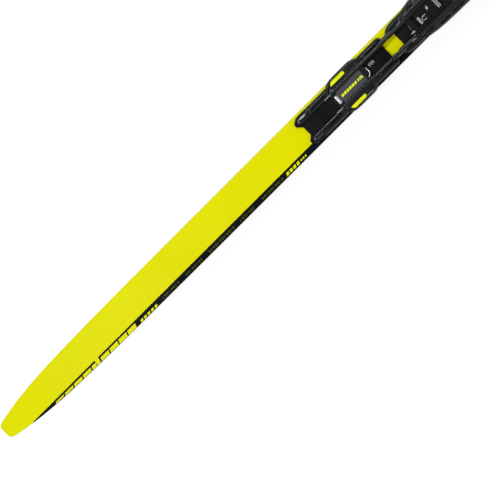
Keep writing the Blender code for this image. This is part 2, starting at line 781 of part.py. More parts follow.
def make_lock_lever(materials):
    """The rocking steel lever whose front tooth locks the binding's place on the rack."""
    side = [
        (179.5, 6.9), (210.6, 6.9), (210.6, 9.8), (206.3, 9.8), (206.3, 7.7), (179.5, 7.7),
    ]
    lever = prism("lock_lever", side, -7.1, 7.1, "Y", materials["steel"])
    cut(lever, box("lever_window", (190.6, 204.5), (-5.6, 5.6), (6, 9)))
    tab = box("lever_tab", (179.7, 182.1), (-6.6, 2.1), (7.2, 10.4))
    tooth = box(
        "lever_tooth", (RACK_STATION - 0.6, RACK_STATION + 0.6), (-5.0, 5.0), (2.3, 7.4)
    )
    join(lever, tab, tooth)
    for name, low, high in (("left", 5.9, 6.9), ("right", -6.9, -5.9)):
        join(lever, box(f"lever_ear_{name}", (194.6, 199.4), (low, high), (3.9, 7.3)))
    cut(lever, cylinder("lever_bore", LOCK_PIVOT, LOCK_PIN_RADIUS + GAP, -9, 9, "Y", 12))
    set_origin(lever, LOCK_PIVOT[0], 0, LOCK_PIVOT[1])
    return lever


def make_lock_pin(materials):
    return cylinder(
        "lock_pivot_pin", LOCK_PIVOT, LOCK_PIN_RADIUS, -8.1, 8.1, "Y", 12,
        material=materials["steel"],
    )


def make_lock_spring(materials):
    """The torsion spring on the lock's pivot pin. Its leg ends in a flat loop over the lever's
    rear end."""
    x, z = LOCK_PIVOT
    turns, per_turn = 4, 10
    radius, first_y, pitch = 1.9, 4.9, 0.95
    loop_height = LOCK_PIVOT[1] + 2.9
    points = []
    for i in range(turns * per_turn + 1):
        angle = 2 * math.pi * i / per_turn
        y = first_y - pitch * i / per_turn
        points.append((x + radius * math.sin(angle), y, z + radius * math.cos(angle)))
    points.append((193.4, 0.2, loop_height - 0.4))
    for station, y in (
        (190.0, -0.6), (186.0, -0.9), (184.6, -1.8), (184.2, -3.1), (184.6, -4.4), (186.0, -5.2),
        (189.4, -5.4),
    ):
        points.append((station, y, loop_height))
    return wire("lock_spring", points, 0.32, materials["steel"], resolution=1)


def make_lock_cover(materials):
    """The plastic lid over the lock, with windows for the spring's loop and its coil."""
    cover = box("lock_cover", (183.0, 205.0), (-8.8, 8.8), (8.95, 9.8), materials["binding"])
    loop_window = box("loop_window", (183.6, 191.0), (-6.2, 0.2), (8, 11))
    coil_window = box("coil_window", (194.4, 199.6), (0.6, 5.6), (8, 11))
    return cut(cover, loop_window, coil_window)


def make_side_rivets(materials):
    rivets = []
    for side, sign in (("left", 1), ("right", -1)):
        centre = (SIDE_RIVET[0], sign * SIDE_RIVET[1])
        rivets.append(
            cylinder(
                f"side_rivet_{side}", centre, SIDE_RIVET_RADIUS, 8.2, 11.0, segments=12,
                top_radius=0.6, material=materials["steel"],
            )
        )
    return rivets


def make_jaw_block(materials):
    """The seat that the boot's toe bar drops into, with a wall behind it."""
    side = [
        (278.6, 8.9), (290.6, 8.9), (290.6, 12.0), (285.6, 12.0), (285.6, 15.4), (283.0, 15.4),
        (278.6, 13.4),
    ]
    block = prism("jaw_block", side, -8.8, 8.8, "Y", materials["steel"])
    for name, sign in (("left", 1), ("right", -1)):
        centre = (JAW_SCREW[0], sign * JAW_SCREW[1])
        bore = cylinder(f"block_bore_{name}", centre, 1.5, 8, 20, segments=12)
        recess = cylinder(f"block_recess_{name}", centre, 2.3, 12.0, 20, segments=16)
        cut(block, bore, recess)
    return block


def make_jaw_screws(materials):
    screws = []
    for side, sign in (("left", 1), ("right", -1)):
        centre = (JAW_SCREW[0], sign * JAW_SCREW[1])
        screw = cylinder(
            f"jaw_screw_{side}", centre, 1.2, 4.5, 12.8, segments=12, material=materials["steel"]
        )
        join(screw, cylinder(f"jaw_screw_head_{side}", centre, 2.0, 12.3, 14.0, segments=16))
        cut(screw, cylinder(f"jaw_screw_socket_{side}", centre, 1.0, 13.0, 15, segments=6))
        screws.append(screw)
    return screws


def make_latch(materials):
    """The steel latch: a flat slider with two hooks that close over the boot's toe bar, and
    a peg that rides in the knob's spiral cam."""
    front = KNOB_STATION + 10
    slider = prism(
        "toe_latch",
        mirrored([(290.9, 0), (290.9, 7.8), (front - 3, 7.8), (front, 4.5), (front, 0)]),
        8.9, 10.1, "Z", materials["steel"],
    )
    slot = prism(
        "latch_slot",
        [(x + KNOB_STATION, y) for x, y in rounded_slot(-LATCH_TRAVEL, 0, SHAFT_RADIUS + 0.4)],
        8, 11,
    )
    window = prism("latch_window", mirrored([(300, 0), (300, 3.4), (322, 3.4), (322, 0)]), 8, 11)
    cut(slider, slot, window)
    hook = [
        (291, 9.2), (294, 9.2), (294, 17.0), (293, 17.9), (287.8, 17.9), (287.0, 17.2),
        (287.0, 16.4), (291, 16.4),
    ]
    join(slider, prism("hook_left", hook, 4.4, 7.6, "Y"), prism("hook_right", hook, -7.6, -4.4, "Y"))
    peg = (KNOB_STATION + CAM_START_RADIUS, 0)
    join(slider, cylinder("cam_peg", peg, PEG_RADIUS, 9.5, 12.0, segments=12))
    return slider


def make_flexor(materials):
    """The rubber bumper in front of the toe bar, which is swapped for a softer or harder one."""
    side = [
        (301.0, 12.4), (299.9, 15.2), (300.4, 18.0), (302.2, 19.8), (305.0, 20.0), (313.0, 18.4),
        (318.6, 15.6), (320.0, 12.4),
    ]
    flexor = prism("flexor", side, -12.5, 12.5, "Y", materials["rubber"])
    foot = box("flexor_foot", (303, 318), (-8.7, 8.7), (10.5, 13))
    stem = box("flexor_stem", (306, 316), (-2.4, 2.4), (6.6, 11))
    join(flexor, foot, stem)
    return flexor


def cam_groove_outline():
    """A band along a spiral whose radius grows in step with the knob's angle, so that the
    latch moves evenly. Beyond each end it keeps its radius, to leave room for the round peg."""
    margin = 24
    inner, outer = [], []
    for degrees in range(margin, -90 - margin // 2 - 1, -6):
        turned = min(max(-degrees, 0), 90) / 90
        radius = CAM_START_RADIUS + LATCH_TRAVEL * turned
        direction = (math.cos(math.radians(degrees)), math.sin(math.radians(degrees)))
        for side, offset in ((inner, -CAM_GROOVE_HALF), (outer, CAM_GROOVE_HALF)):
            side.append(
                (KNOB_STATION + (radius + offset) * direction[0], (radius + offset) * direction[1])
            )
    return inner + outer[::-1]


def make_cam_disc(materials):
    centre = (KNOB_STATION, 0)
    disc = cylinder("cam_disc", centre, 8.9, 10.4, 12.1, segments=32, material=materials["steel"])
    groove = prism("cam_groove", cam_groove_outline(), 9, 13)
    bore = cylinder("cam_bore", centre, SHAFT_RADIUS + GAP, 9, 13, segments=16)
    cut(disc, groove, bore)
    return disc


def make_knob(materials):
    """The quarter-turn knob: a scalloped disc with a raised finger bar."""
    centre = (KNOB_STATION, 0)
    knob = cylinder(
        "knob", centre, 16.4, 12.4, 15.4, segments=40, top_radius=15.6,
        material=materials["binding"],
    )
    scallops = 10
    for i in range(scallops):
        angle = 2 * math.pi * (i + 0.5) / scallops
        place = (KNOB_STATION + 18.0 * math.cos(angle), 18.0 * math.sin(angle))
        cut(knob, cylinder(f"knob_scallop_{i}", place, 2.6, 11, 17, segments=12))
    bar = [(x + KNOB_STATION, y) for x, y in rounded_slot(-10.5, 10.5, 3.4, 6)]
    join(knob, prism("knob_bar", bar, 15.0, 19.0))
    cut(knob, cylinder("knob_bore", centre, SHAFT_RADIUS + GAP, 11, 16.4, segments=16))
    return knob


def make_knob_spindle(materials):
    """The shaft under the knob, the bush it turns in and the clip that keeps it there."""
    centre = (KNOB_STATION, 0)
    shaft = cylinder(
        "knob_shaft", centre, SHAFT_RADIUS, 3.5, 16.0, segments=16, material=materials["steel"]
    )
    bush = cylinder(
        "knob_bush", centre, 2.9, 4.9, 8.5, segments=24, material=materials["bronze"]
    )
    cut(bush, cylinder("knob_bush_bore", centre, SHAFT_RADIUS + GAP, 4, 9, segments=16))
    clip = cylinder(
        "shaft_clip", centre, 3.8, 3.6, 4.3, segments=20, material=materials["steel"]
    )
    cut(clip, cylinder("shaft_clip_bore", centre, SHAFT_RADIUS + GAP, 3, 5, segments=16))
    return shaft, bush, clip


# ---------------------------------------------------------------- the assembly

def main():
    global PARTS, CUTTERS
    clear_scene()
    PARTS = make_collection("cross_country_ski")
    CUTTERS = make_collection("cutters")
    materials = make_materials()

    ski_frame = make_empty("ski_frame", 0, 0, 0)
    binding_frame = make_empty("binding_frame", BAR_STATION, 0, 0, ski_frame)
    knob_axis = make_empty("knob_axis", KNOB_STATION, 0, RAIL_TOP, binding_frame)

    for part in (
        *make_ski(materials), make_rear_plate(materials), make_front_plate(materials),
        *make_adhesive_pads(materials),
    ):
        attach(part, ski_frame)

    shaft, bush, clip = make_knob_spindle(materials)
    for part in (
        make_heel_base(materials), *make_wing_inserts(materials), make_heel_label(materials),
        make_heel_tongue(materials), make_heel_tongue_pin(materials),
        make_tongue_spring(materials), make_heel_wire_clip(materials), *make_rail_couplers(materials), make_toe_base(materials),
        make_lock_lever(materials), make_lock_pin(materials), make_lock_spring(materials),
        make_lock_cover(materials), *make_side_rivets(materials), make_jaw_block(materials),
        *make_jaw_screws(materials), make_latch(materials), make_flexor(materials), bush,
    ):
        attach(part, binding_frame)

    for part in (make_knob(materials), make_cam_disc(materials), shaft, clip):
        set_origin(part, KNOB_STATION, 0, RAIL_TOP)
        attach(part, knob_axis)


main()
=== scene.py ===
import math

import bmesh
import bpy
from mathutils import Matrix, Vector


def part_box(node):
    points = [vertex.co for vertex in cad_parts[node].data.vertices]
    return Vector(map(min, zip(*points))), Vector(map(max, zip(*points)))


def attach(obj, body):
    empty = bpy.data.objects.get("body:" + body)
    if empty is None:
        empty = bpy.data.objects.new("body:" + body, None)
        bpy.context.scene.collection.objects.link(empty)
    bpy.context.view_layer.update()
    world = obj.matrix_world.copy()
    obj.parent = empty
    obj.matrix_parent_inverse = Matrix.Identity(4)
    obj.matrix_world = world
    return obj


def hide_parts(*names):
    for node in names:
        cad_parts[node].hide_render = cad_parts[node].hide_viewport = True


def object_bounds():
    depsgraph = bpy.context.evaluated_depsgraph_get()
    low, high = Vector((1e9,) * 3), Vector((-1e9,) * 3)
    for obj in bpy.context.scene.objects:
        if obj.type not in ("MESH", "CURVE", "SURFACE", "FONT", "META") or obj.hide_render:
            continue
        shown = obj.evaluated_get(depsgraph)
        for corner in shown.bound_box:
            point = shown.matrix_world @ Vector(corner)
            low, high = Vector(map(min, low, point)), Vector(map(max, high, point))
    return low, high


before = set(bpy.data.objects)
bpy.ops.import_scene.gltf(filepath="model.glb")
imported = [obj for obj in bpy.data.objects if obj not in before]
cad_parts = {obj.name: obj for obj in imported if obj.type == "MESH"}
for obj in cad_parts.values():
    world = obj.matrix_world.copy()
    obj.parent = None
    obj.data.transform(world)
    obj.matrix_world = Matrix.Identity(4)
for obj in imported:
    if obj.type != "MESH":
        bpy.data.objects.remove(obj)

# The looks of a cross country skating ski with its two mounting plates and its binding.
# Sizes are in millimetres until MM turns them into metres. A ski station d is counted from
# the tail. The binding's frame has its station u counted from the rear plate's rear end, y
# to the left and z up from the ski's flat deck.

CAD_LOW, CAD_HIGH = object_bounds()

MM = 0.001
FILM_GAP = 0.3  # between the flat deck and the adhesive films
SKI_LENGTH = (CAD_HIGH.x - CAD_LOW.x) / MM
TAIL_X = CAD_LOW.x
PLATE_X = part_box("rear_plate")[0].x
DECK_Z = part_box("rear_adhesive_film")[0].z - FILM_GAP * MM
DECK_HEIGHT = DECK_Z / MM


# ---- the ski's own shape ----

HALF_WAIST = 22.0
REAR_CONTACT, FRONT_CONTACT = 60.0, 1520.0
CAMBER_PEAK, CAMBER_HEIGHT, CAMBER_FULLNESS = 680.0, 16.0, 1.2
TAIL_RISE, TIP_RISE = 4.0, 42.0
SHOVEL_THICKNESS, TIP_THICKNESS = 7.6, 5.6
CORE_START, CORE_END = 60.0, 1620.0

# (distance from the tail, half width), (distance from the tip, half width) and (distance from
# the tail, height of the top surface)
TAIL_OUTLINE = [
    (0, 6.0), (0.8, 7.6), (2, 9.0), (4, 10.1), (8, 11.3), (14, 12.5), (21, 13.7), (34, 15.7),
    (48, 17.3), (61, 18.5), (90, 20.1), (115, 20.8), (160, 21.5), (205, 21.8), (300, HALF_WAIST),
]
TIP_OUTLINE = [
    (0, 4.0), (0.8, 6.2), (2, 8.2), (4, 10.2), (8, 12.8), (14, 14.9), (24, 16.8), (36, 18.1),
    (54, 19.2), (80, 20.0), (120, 20.4), (200, 20.5), (700, 21.6), (845, HALF_WAIST),
]
TOP_PROFILE = [
    (0, 11.0), (60, 8.8), (160, 15.5), (280, 27.5), (380, 37.4), (465, DECK_HEIGHT),
    (865, DECK_HEIGHT), (1000, 38.8), (1150, 29.5), (1300, 19.0), (1430, 11.0),
    (FRONT_CONTACT, SHOVEL_THICKNESS),
]
BASE_THICKNESS = 1.6
LAMINATE_THICKNESS = 0.8
TOPSHEET_THICKNESS = 0.9
SIDEWALL_WIDTH = 3.0
SIDE_INSET = 0.2
LAYER_GAP = 0.02
GROOVE_DEPTH, GROOVE_HALF_WIDTH = 1.0, 4.5
GROOVE_START, GROOVE_END, GROOVE_FADE = 90.0, 1530.0, 40.0
# The black band along the ski's right edge
BAND_EDGE = -14.0
BAND_START = 31.0


# ---- the binding's main sizes ----

PLATE_LOW, PLATE_FLOOR, LIP_LOW, PLATE_HIGH = 1.1, 2.9, 5.1, 7.1
BODY_LOW, CHANNEL_FLOOR, RAIL_TOP = 7.4, 8.6, 12.0
FOOT_LOW, FOOT_HIGH, FOOT, NECK = 3.2, 4.8, 11.9, 8.9
SLOT_MOUTH, SLOT_INSIDE = 9.2, 12.3
RAIL_INNER, RAIL_OUTER = 8.75, 12.9
REAR_PLATE_END, WINDOW_END = 132.1, 150.8
WINDOW_HALF, WINDOW_CORNER = 8.6, 1.5
FRONT_PLATE_START, FRONT_PLATE_END = 142.5, 372.0
FACET_START = 12.7
HEEL_START, HEEL_RAIL_END, PRONG_END = 42.8, 133.0, 51.3
HEEL_CENTRE = (50.5, 102.5)
WING_SLOPE, RAMP_SLOPE, TOE_FLANGE = 0.07, 0.31, 1.5
# How far out the plates' sides lie inside the wings' skirts, and the skirts' lowest height
HEEL_SKIRT, TOE_SKIRT = (19.9, 2.2), (21.4, 1.6)
BODY_EDGE = 9.8
INSERT_CENTRE = (70.2, 17.9)
TONGUE_AXIS, LOCK_AXIS = (63.0, 5.9), (197.0, 5.6)
TOE_START, TOE_CENTRE_START, TOE_END = 133.3, 167.8, 361.5
KNOB_STATION, NOSE_RADIUS = 342.0, 19.0
RIVET_PLACE, SCREW_PLACE = (224.0, 12.0), (282.0, 5.6)
SIDES = (("left", 1), ("right", -1))


def smooth_curve(points):
    """A function through the points that never overshoots them (monotone cubic)."""
    xs = [p[0] for p in points]
    ys = [p[1] for p in points]
    spans = [b - a for a, b in zip(xs, xs[1:])]
    slopes = [(b - a) / s for a, b, s in zip(ys, ys[1:], spans)]
    tangents = [slopes[0]]
    for i in range(1, len(slopes)):
        before, after = slopes[i - 1], slopes[i]
        if before * after <= 0:
            tangents.append(0.0)
            continue
        w1 = 2 * spans[i] + spans[i - 1]
        w2 = spans[i] + 2 * spans[i - 1]
        tangents.append((w1 + w2) / (w1 / before + w2 / after))
    tangents.append(slopes[-1])

    def value(x):
        x = min(max(x, xs[0]), xs[-1])
        i = 0
        while i < len(spans) - 1 and x > xs[i + 1]:
            i += 1
        t = (x - xs[i]) / spans[i]
        return (
            ys[i] * (1 + 2 * t) * (1 - t) ** 2
            + tangents[i] * spans[i] * t * (1 - t) ** 2
            + ys[i + 1] * t * t * (3 - 2 * t)
            + tangents[i + 1] * spans[i] * t * t * (t - 1)
        )

    return value


def step(low, high, x):
    """A smooth rise from 0 at low to 1 at high; it falls where low is above high."""
    t = min(max((x - low) / (high - low), 0.0), 1.0)
    return t * t * (3 - 2 * t)


def hill(start, end, ramp, x):
    """1 between start and end, falling smoothly to 0 over the ramp outside them."""
    return step(start - ramp, start, x) * step(end + ramp, end, x)


def mix(a, b, share):
    return a + (b - a) * share


tail_half_width = smooth_curve(TAIL_OUTLINE)
tip_half_width = smooth_curve(TIP_OUTLINE)
top_profile = smooth_curve(TOP_PROFILE)


def half_width(d):
    return min(tail_half_width(d), tip_half_width(SKI_LENGTH - d))


def base_height(d):
    if d < REAR_CONTACT:
        return TAIL_RISE * (1 - d / REAR_CONTACT) ** 2
    if d > FRONT_CONTACT:
        return TIP_RISE * ((d - FRONT_CONTACT) / (SKI_LENGTH - FRONT_CONTACT)) ** 2
    end = REAR_CONTACT if d < CAMBER_PEAK else FRONT_CONTACT
    share = (d - end) / (CAMBER_PEAK - end)
    return CAMBER_HEIGHT * math.sin(math.pi / 2 * share) ** CAMBER_FULLNESS


def top_height(d):
    if d <= FRONT_CONTACT:
        return top_profile(d)
    share = (d - FRONT_CONTACT) / (SKI_LENGTH - FRONT_CONTACT)
    return base_height(d) + SHOVEL_THICKNESS + (TIP_THICKNESS - SHOVEL_THICKNESS) * share


def groove_share(d):
    return step(0, 1, min(d - GROOVE_START, GROOVE_END - d) / GROOVE_FADE)


def ski_stations(start, end):
    """Stations close together at the rounded ends and every few millimetres between them."""
    near_end = [0, 0.4, 0.8, 1.4, 2, 3, 4, 6, 8, 11, 14, 18, 22, 27, 32, 38, 44, 50, 56]
    middle = [60 + 9 * i for i in range(int((SKI_LENGTH - 120) / 9) + 1)]
    every = sorted(set(near_end + middle + [SKI_LENGTH - d for d in near_end] + [BAND_START]))
    return [start] + [d for d in every if start + 0.2 < d < end - 0.2] + [end]


# ---- mesh helpers ----

def ski_point(d, y, z):
    return Vector((TAIL_X + d * MM, y * MM, z * MM))


def bind_point(u, y, z):
    return Vector((PLATE_X + u * MM, y * MM, DECK_Z + z * MM))


def new_object(name, bm, sharp=35):
    """Turns a bmesh into a smooth-shaded object, with sharp edges above the angle."""
    bmesh.ops.remove_doubles(bm, verts=bm.verts, dist=1e-7)
    bmesh.ops.recalc_face_normals(bm, faces=bm.faces)
    for face in bm.faces:
        face.smooth = True
    mesh = bpy.data.meshes.new(name)
    bm.to_mesh(mesh)
    bm.free()
    mesh.set_sharp_from_angle(angle=math.radians(sharp))
    obj = bpy.data.objects.new(name, mesh)
    bpy.context.scene.collection.objects.link(obj)
    return obj


def loft_all(name, solids, pick=None, sharp=35):
    """One object of closed skins through rings of points, with flat ends. pick(i, j) gives
    the material index of the face between ring i's points j and j + 1 and the next ring."""
    bm = bmesh.new()
    for rings in solids:
        loops = [[bm.verts.new(p) for p in ring] for ring in rings]
        for i, (first, second) in enumerate(zip(loops, loops[1:])):
            for j in range(len(first)):
                k = (j + 1) % len(first)
                face = bm.faces.new((first[j], first[k], second[k], second[j]))
                face.material_index = pick(i, j) if pick else 0
        bm.faces.new(reversed(loops[0]))
        bm.faces.new(loops[-1])
    return new_object(name, bm, sharp)


def loft(name, rings, pick=None, sharp=35):
    return loft_all(name, [rings], pick, sharp)


def sweep(name, places, section, sign=1):
    """A loft through the (y, z) points that section(u) gives at each of the places."""
    return loft(name, [[bind_point(u, sign * y, z) for y, z in section(u)] for u in places])


AXES = {
    "Z": lambda a, b, t: (a, b, t),
    "X": lambda a, b, t: (t, a, b),
    "Y": lambda a, b, t: (a, t, b),
}


def prism(name, outline, low, high, axis="Z"):
    """A flat outline extruded along an axis of the binding's frame. Its points are (u, y) for
    Z, (y, z) for X and (u, z) for Y."""
    place = AXES[axis]
    rings = [[bind_point(*place(a, b, t)) for a, b in outline] for t in (low, high)]
    return loft(name, rings)


def box(name, u, y, z, corner=0.0):
    """A box from its (low, high) on each axis, with rounded upright edges if it has a corner."""
    outline = [(u[0], y[0]), (u[1], y[0]), (u[1], y[1]), (u[0], y[1])]
    return prism(name, rounded(outline, corner) if corner else outline, *z)


def circle(segments):
    return [2 * math.pi * i / segments for i in range(segments)]


def cylinder(name, centre, radius, low, high, axis="Z", segments=48):
    """A round bar; centre is (u, y) along Z, (u, z) along Y and (y, z) along X."""
    return prism(name, [
        (centre[0] + radius * math.cos(a), centre[1] + radius * math.sin(a))
        for a in circle(segments)
    ], low, high, axis)


def turned(name, centre, profile, segments):
    """A solid of revolution about a vertical axis, from (radius, z) points, bottom first."""
    return loft(name, [
        [bind_point(centre[0] + r * math.cos(a), centre[1] + r * math.sin(a), z)
         for a in circle(segments)] for r, z in profile
    ])


def rounded(points, radius, steps=4):
    """The closed outline with each corner replaced by a curve that starts radius from it."""
    made = []
    count = len(points)
    for i in range(count):
        here = Vector(points[i])
        before = Vector(points[i - 1]) - here
        after = Vector(points[(i + 1) % count]) - here
        reach = min(radius, before.length * 0.45, after.length * 0.45)
        first, last = here + before.normalized() * reach, here + after.normalized() * reach
        for k in range(steps + 1):
            t = k / steps
            point = first * (1 - t) ** 2 + here * 2 * t * (1 - t) + last * t * t
            made.append((point.x, point.y))
    return made


def mirrored(half):
    """A closed outline of (x, y) points from its +Y half."""
    return half + [(x, -y) for x, y in reversed(half) if abs(y) > 1e-9]


def mirrored_section(half):
    """A closed section of (y, z) points from its +Y half."""
    return half + [(-y, z) for y, z in reversed(half) if abs(y) > 1e-9]


def arc(centre, radius, start, end, count):
    angles = [math.radians(start + (end - start) * i / (count - 1)) for i in range(count)]
    return [(centre[0] + radius * math.cos(a), centre[1] + radius * math.sin(a)) for a in angles]


def slot_outline(centre, reach, radius, count):
    """A slot along X: its round ends' centres lie reach to each side of the centre."""
    ahead, behind = (centre[0] + reach, centre[1]), (centre[0] - reach, centre[1])
    return arc(ahead, radius, -90, 90, count) + arc(behind, radius, 90, 270, count)


def tapered(name, outline, low, high, draft):
    """A cutter for a pocket: its walls lean outward from the floor by the draft."""
    us, ys = [p[0] for p in outline], [p[1] for p in outline]
    middle = ((min(us) + max(us)) / 2, (min(ys) + max(ys)) / 2)
    half = ((max(us) - min(us)) / 2, (max(ys) - min(ys)) / 2)
    rings = []
    for z, grow in ((low, -draft), (high, draft)):
        rings.append([bind_point(middle[0] + (u - middle[0]) * (1 + grow / half[0]),
                                 middle[1] + (y - middle[1]) * (1 + grow / half[1]), z)
                      for u, y in outline])
    return loft(name, rings)


def boolean(target, operation, *others):
    """Joins the others to the target, or cuts them out of it, and removes them."""
    for other in others:
        modifier = target.modifiers.new(other.name, "BOOLEAN")
        modifier.operation = operation
        modifier.solver = "EXACT"
        modifier.object = other
    graph = bpy.context.evaluated_depsgraph_get()
    mesh = bpy.data.meshes.new_from_object(target.evaluated_get(graph))
    target.modifiers.clear()
    target.data = mesh
    for other in others:
        bpy.data.objects.remove(other)
    bm = bmesh.new()
    bm.from_mesh(mesh)
    bmesh.ops.remove_doubles(bm, verts=bm.verts, dist=2e-6)
    bmesh.ops.dissolve_degenerate(bm, edges=bm.edges, dist=2e-6)
    bmesh.ops.holes_fill(bm, edges=[edge for edge in bm.edges if edge.is_boundary], sides=0)
    for face in bm.faces:
        face.smooth = True
    bm.to_mesh(mesh)
    bm.free()
    mesh.set_sharp_from_angle(angle=math.radians(35))
    return target


def join(target, *others):
    return boolean(target, "UNION", *others)


def cut(target, *others):
    return boolean(target, "DIFFERENCE", *others)


def mirror_copy(obj, name):
    """The same shape on the ski's other side."""
    bm = bmesh.new()
    bm.from_mesh(obj.data)
    bmesh.ops.scale(bm, vec=(1, -1, 1), verts=bm.verts)
    bmesh.ops.reverse_faces(bm, faces=bm.faces)
    return new_object(name, bm)


def bevel(obj, width, segments=2, angle=30):
    modifier = obj.modifiers.new("edges", "BEVEL")
    modifier.width = width * MM
    modifier.segments = segments
    modifier.limit_method = "ANGLE"
    modifier.angle_limit = math.radians(angle)
    modifier.harden_normals = True
    return obj


def finish_piece(obj, body, look, slot, *nodes):
    """Gives a new piece its materials, its body and the CAD nodes it stands for. The slot is not
    used.
    """
    for one in look if isinstance(look, list) else [look]:
        obj.data.materials.append(one)
    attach(obj, body)
    if nodes:
        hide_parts(*nodes)


def plastic_piece(obj, *nodes):
    finish_piece(obj, "binding", PLASTIC, "binding_plastic", *nodes)


# ---- materials ----

class Nodes:
    """A material's node tree, with short calls for the nodes that the materials here share."""

    def __init__(self, name):
        self.material = bpy.data.materials.new(name)
        self.material.use_nodes = True
        self.tree = self.material.node_tree
        self.shader = self.tree.nodes["Principled BSDF"]
        self.place = self.tree.nodes.new("ShaderNodeTexCoord").outputs["Object"]
        self.noises = {}

    def fill(self, node, inputs):
        """Links or sets the node's inputs."""
        for key, value in inputs.items():
            socket = node.inputs[key]
            if isinstance(value, bpy.types.NodeSocket):
                self.tree.links.new(value, socket)
            else:
                socket.default_value = (*value, 1) if socket.type == "RGBA" else value

    def add(self, kind, output, inputs, **settings):
        """A new node's output."""
        node = self.tree.nodes.new(kind)
        for key, value in settings.items():
            setattr(node, key, value)
        self.fill(node, inputs)
        return node.outputs[output]

    def noise(self, scale, detail=3.0, stretch=(1, 1, 1)):
        """A noise in the object's coordinates in metres, times the stretch on each axis."""
        settings = (scale, detail, stretch)
        if settings not in self.noises:
            place = self.add("ShaderNodeMapping", "Vector",
                             {"Vector": self.place, "Scale": stretch})
            self.noises[settings] = self.add("ShaderNodeTexNoise", "Fac", {
                "Vector": place, "Scale": scale, "Detail": detail, "Roughness": 0.55})
        return self.noises[settings]

    def between(self, value, low, high):
        """A number from low to high as the noise goes from 0.3 to 0.7."""
        return self.add("ShaderNodeMapRange", "Result", {
            "Value": value, "From Min": 0.3, "From Max": 0.7, "To Min": low, "To Max": high})

    def blend(self, value, first, second):
        """A colour from the first to the second as the noise goes from 0.3 to 0.7."""
        return self.add("ShaderNodeMix", "Result", {
            "Factor": self.between(value, 0.0, 1.0), "A": first, "B": second,
        }, data_type="RGBA")

    def bump(self, value, strength, distance, before=None):
        inputs = {"Strength": strength, "Distance": distance * MM, "Height": value}
        if before:
            inputs["Normal"] = before
        return self.add("ShaderNodeBump", "Normal", inputs)

    def set(self, **values):
        """Sets the shader's inputs, with _ for each space in their names."""
        self.fill(self.shader, {key.replace("_", " "): value for key, value in values.items()})
        return self.material


def surface(name, tones, cloud, rough, low, high, *bumps, **values):
    """A material whose colour runs between two tones by the cloud noise and its roughness from
    low to high by the rough noise. Each bump is (noise, strength, depth), the lowest first."""
    n = Nodes(name)
    normal = None
    for noise, strength, depth in bumps:
        normal = n.bump(n.noise(*noise), strength, depth, normal)
    return n.set(Base_Color=n.blend(n.noise(*cloud), *tones), Normal=normal,
                 Roughness=n.between(n.noise(*rough), low, high), **values)


def lacquer(name, *tones):
    """A printed and lacquered top sheet: slow colour drift, orange peel and hair scratches."""
    peel, hairs = (420, 2), (2600, 3, (0.04, 1, 1))
    return surface(name, tones, (14, 2), hairs, 0.27, 0.36, (peel, 0.06, 0.05),
                   (hairs, 0.05, 0.02), Specular_IOR_Level=0.01)


def moulded(name, deep, light, rough, grain=1.0, specular=0.3):
    """Injection-moulded plastic: a fine spark-eroded grain, flow marks and rubbed patches."""
    flow, spark, rub = (90, 3, (0.5, 1, 1)), (3200, 3), (38, 4)
    return surface(name, (deep, light), flow, rub, rough - 0.05, rough + 0.07,
                   (spark, 0.22 * grain, 0.03), (flow, 0.08, 0.12), Specular_IOR_Level=specular)


def metal(name, deep, light, rough, metallic, stretch=(1, 0.04, 0.04)):
    """Brushed and plated steel: long fine lines and a faint cloud in the plating."""
    lines = 5200, 4, stretch
    return surface(name, (deep, light), (150, 3), lines, rough - 0.08, rough + 0.08,
                   (lines, 0.12, 0.02), Metallic=metallic)


def weave(name, deep, light):
    """Resin over fibre, with its bundles along and across the ski."""
    n = Nodes(name)
    woven = n.add("ShaderNodeMath", "Value", {
        0: n.noise(900, 2, (0.1, 1, 1)), 1: n.noise(900, 2, (1, 0.1, 1)),
    }, operation="MAXIMUM")
    return n.set(
        Base_Color=n.blend(woven, deep, light), Roughness=n.between(woven, 0.3, 0.45),
        Specular_IOR_Level=0.35, Normal=n.bump(woven, 0.25, 0.05),
    )


YELLOW_TONES = (0.424, 0.424, 0.0004), (0.440, 0.442, 0.0008)
YELLOW = lacquer("lacquer_yellow", *YELLOW_TONES)
BAND = lacquer("lacquer_black", (0.0032, 0.0036, 0.0042), (0.0050, 0.0054, 0.0060))
MARK_YELLOW = lacquer("mark_yellow", *YELLOW_TONES)
MARK_DIM = lacquer("mark_dim", (0.042, 0.045, 0.004), (0.058, 0.062, 0.005))
PLATE = moulded("plate_plastic", (0.0018, 0.0021, 0.0026), (0.0030, 0.0034, 0.0040),
                0.20, 0.3, 0.18)
PLASTIC = moulded("binding_plastic", (0.0028, 0.0031, 0.0036), (0.0042, 0.0046, 0.0052),
                  0.24, 0.4, 0.18)
KNOB_PLASTIC = moulded("knob_plastic", (0.0060, 0.0064, 0.0070), (0.0090, 0.0096, 0.0104), 0.42)
LABEL = moulded("label_slate", (0.025, 0.027, 0.032), (0.030, 0.032, 0.038), 0.5, 0.6, 0.15)
INSERT = moulded("insert_yellow", (0.45, 0.49, 0.0004), (0.47, 0.52, 0.0008), 0.42, 0.5, 0.08)
SIDEWALL = moulded("sidewall_black", (0.004, 0.0045, 0.005), (0.008, 0.0085, 0.009), 0.42, 0.6)
SPACER = moulded("spacer_black", (0.006, 0.0065, 0.007), (0.011, 0.0115, 0.012), 0.5, 0.6)
ADHESIVE = moulded("adhesive_grey", (0.16, 0.16, 0.165), (0.24, 0.24, 0.245), 0.8, 1.4)
LAMINATE = weave("laminate_fibre", (0.006, 0.0065, 0.007), (0.02, 0.02, 0.022))
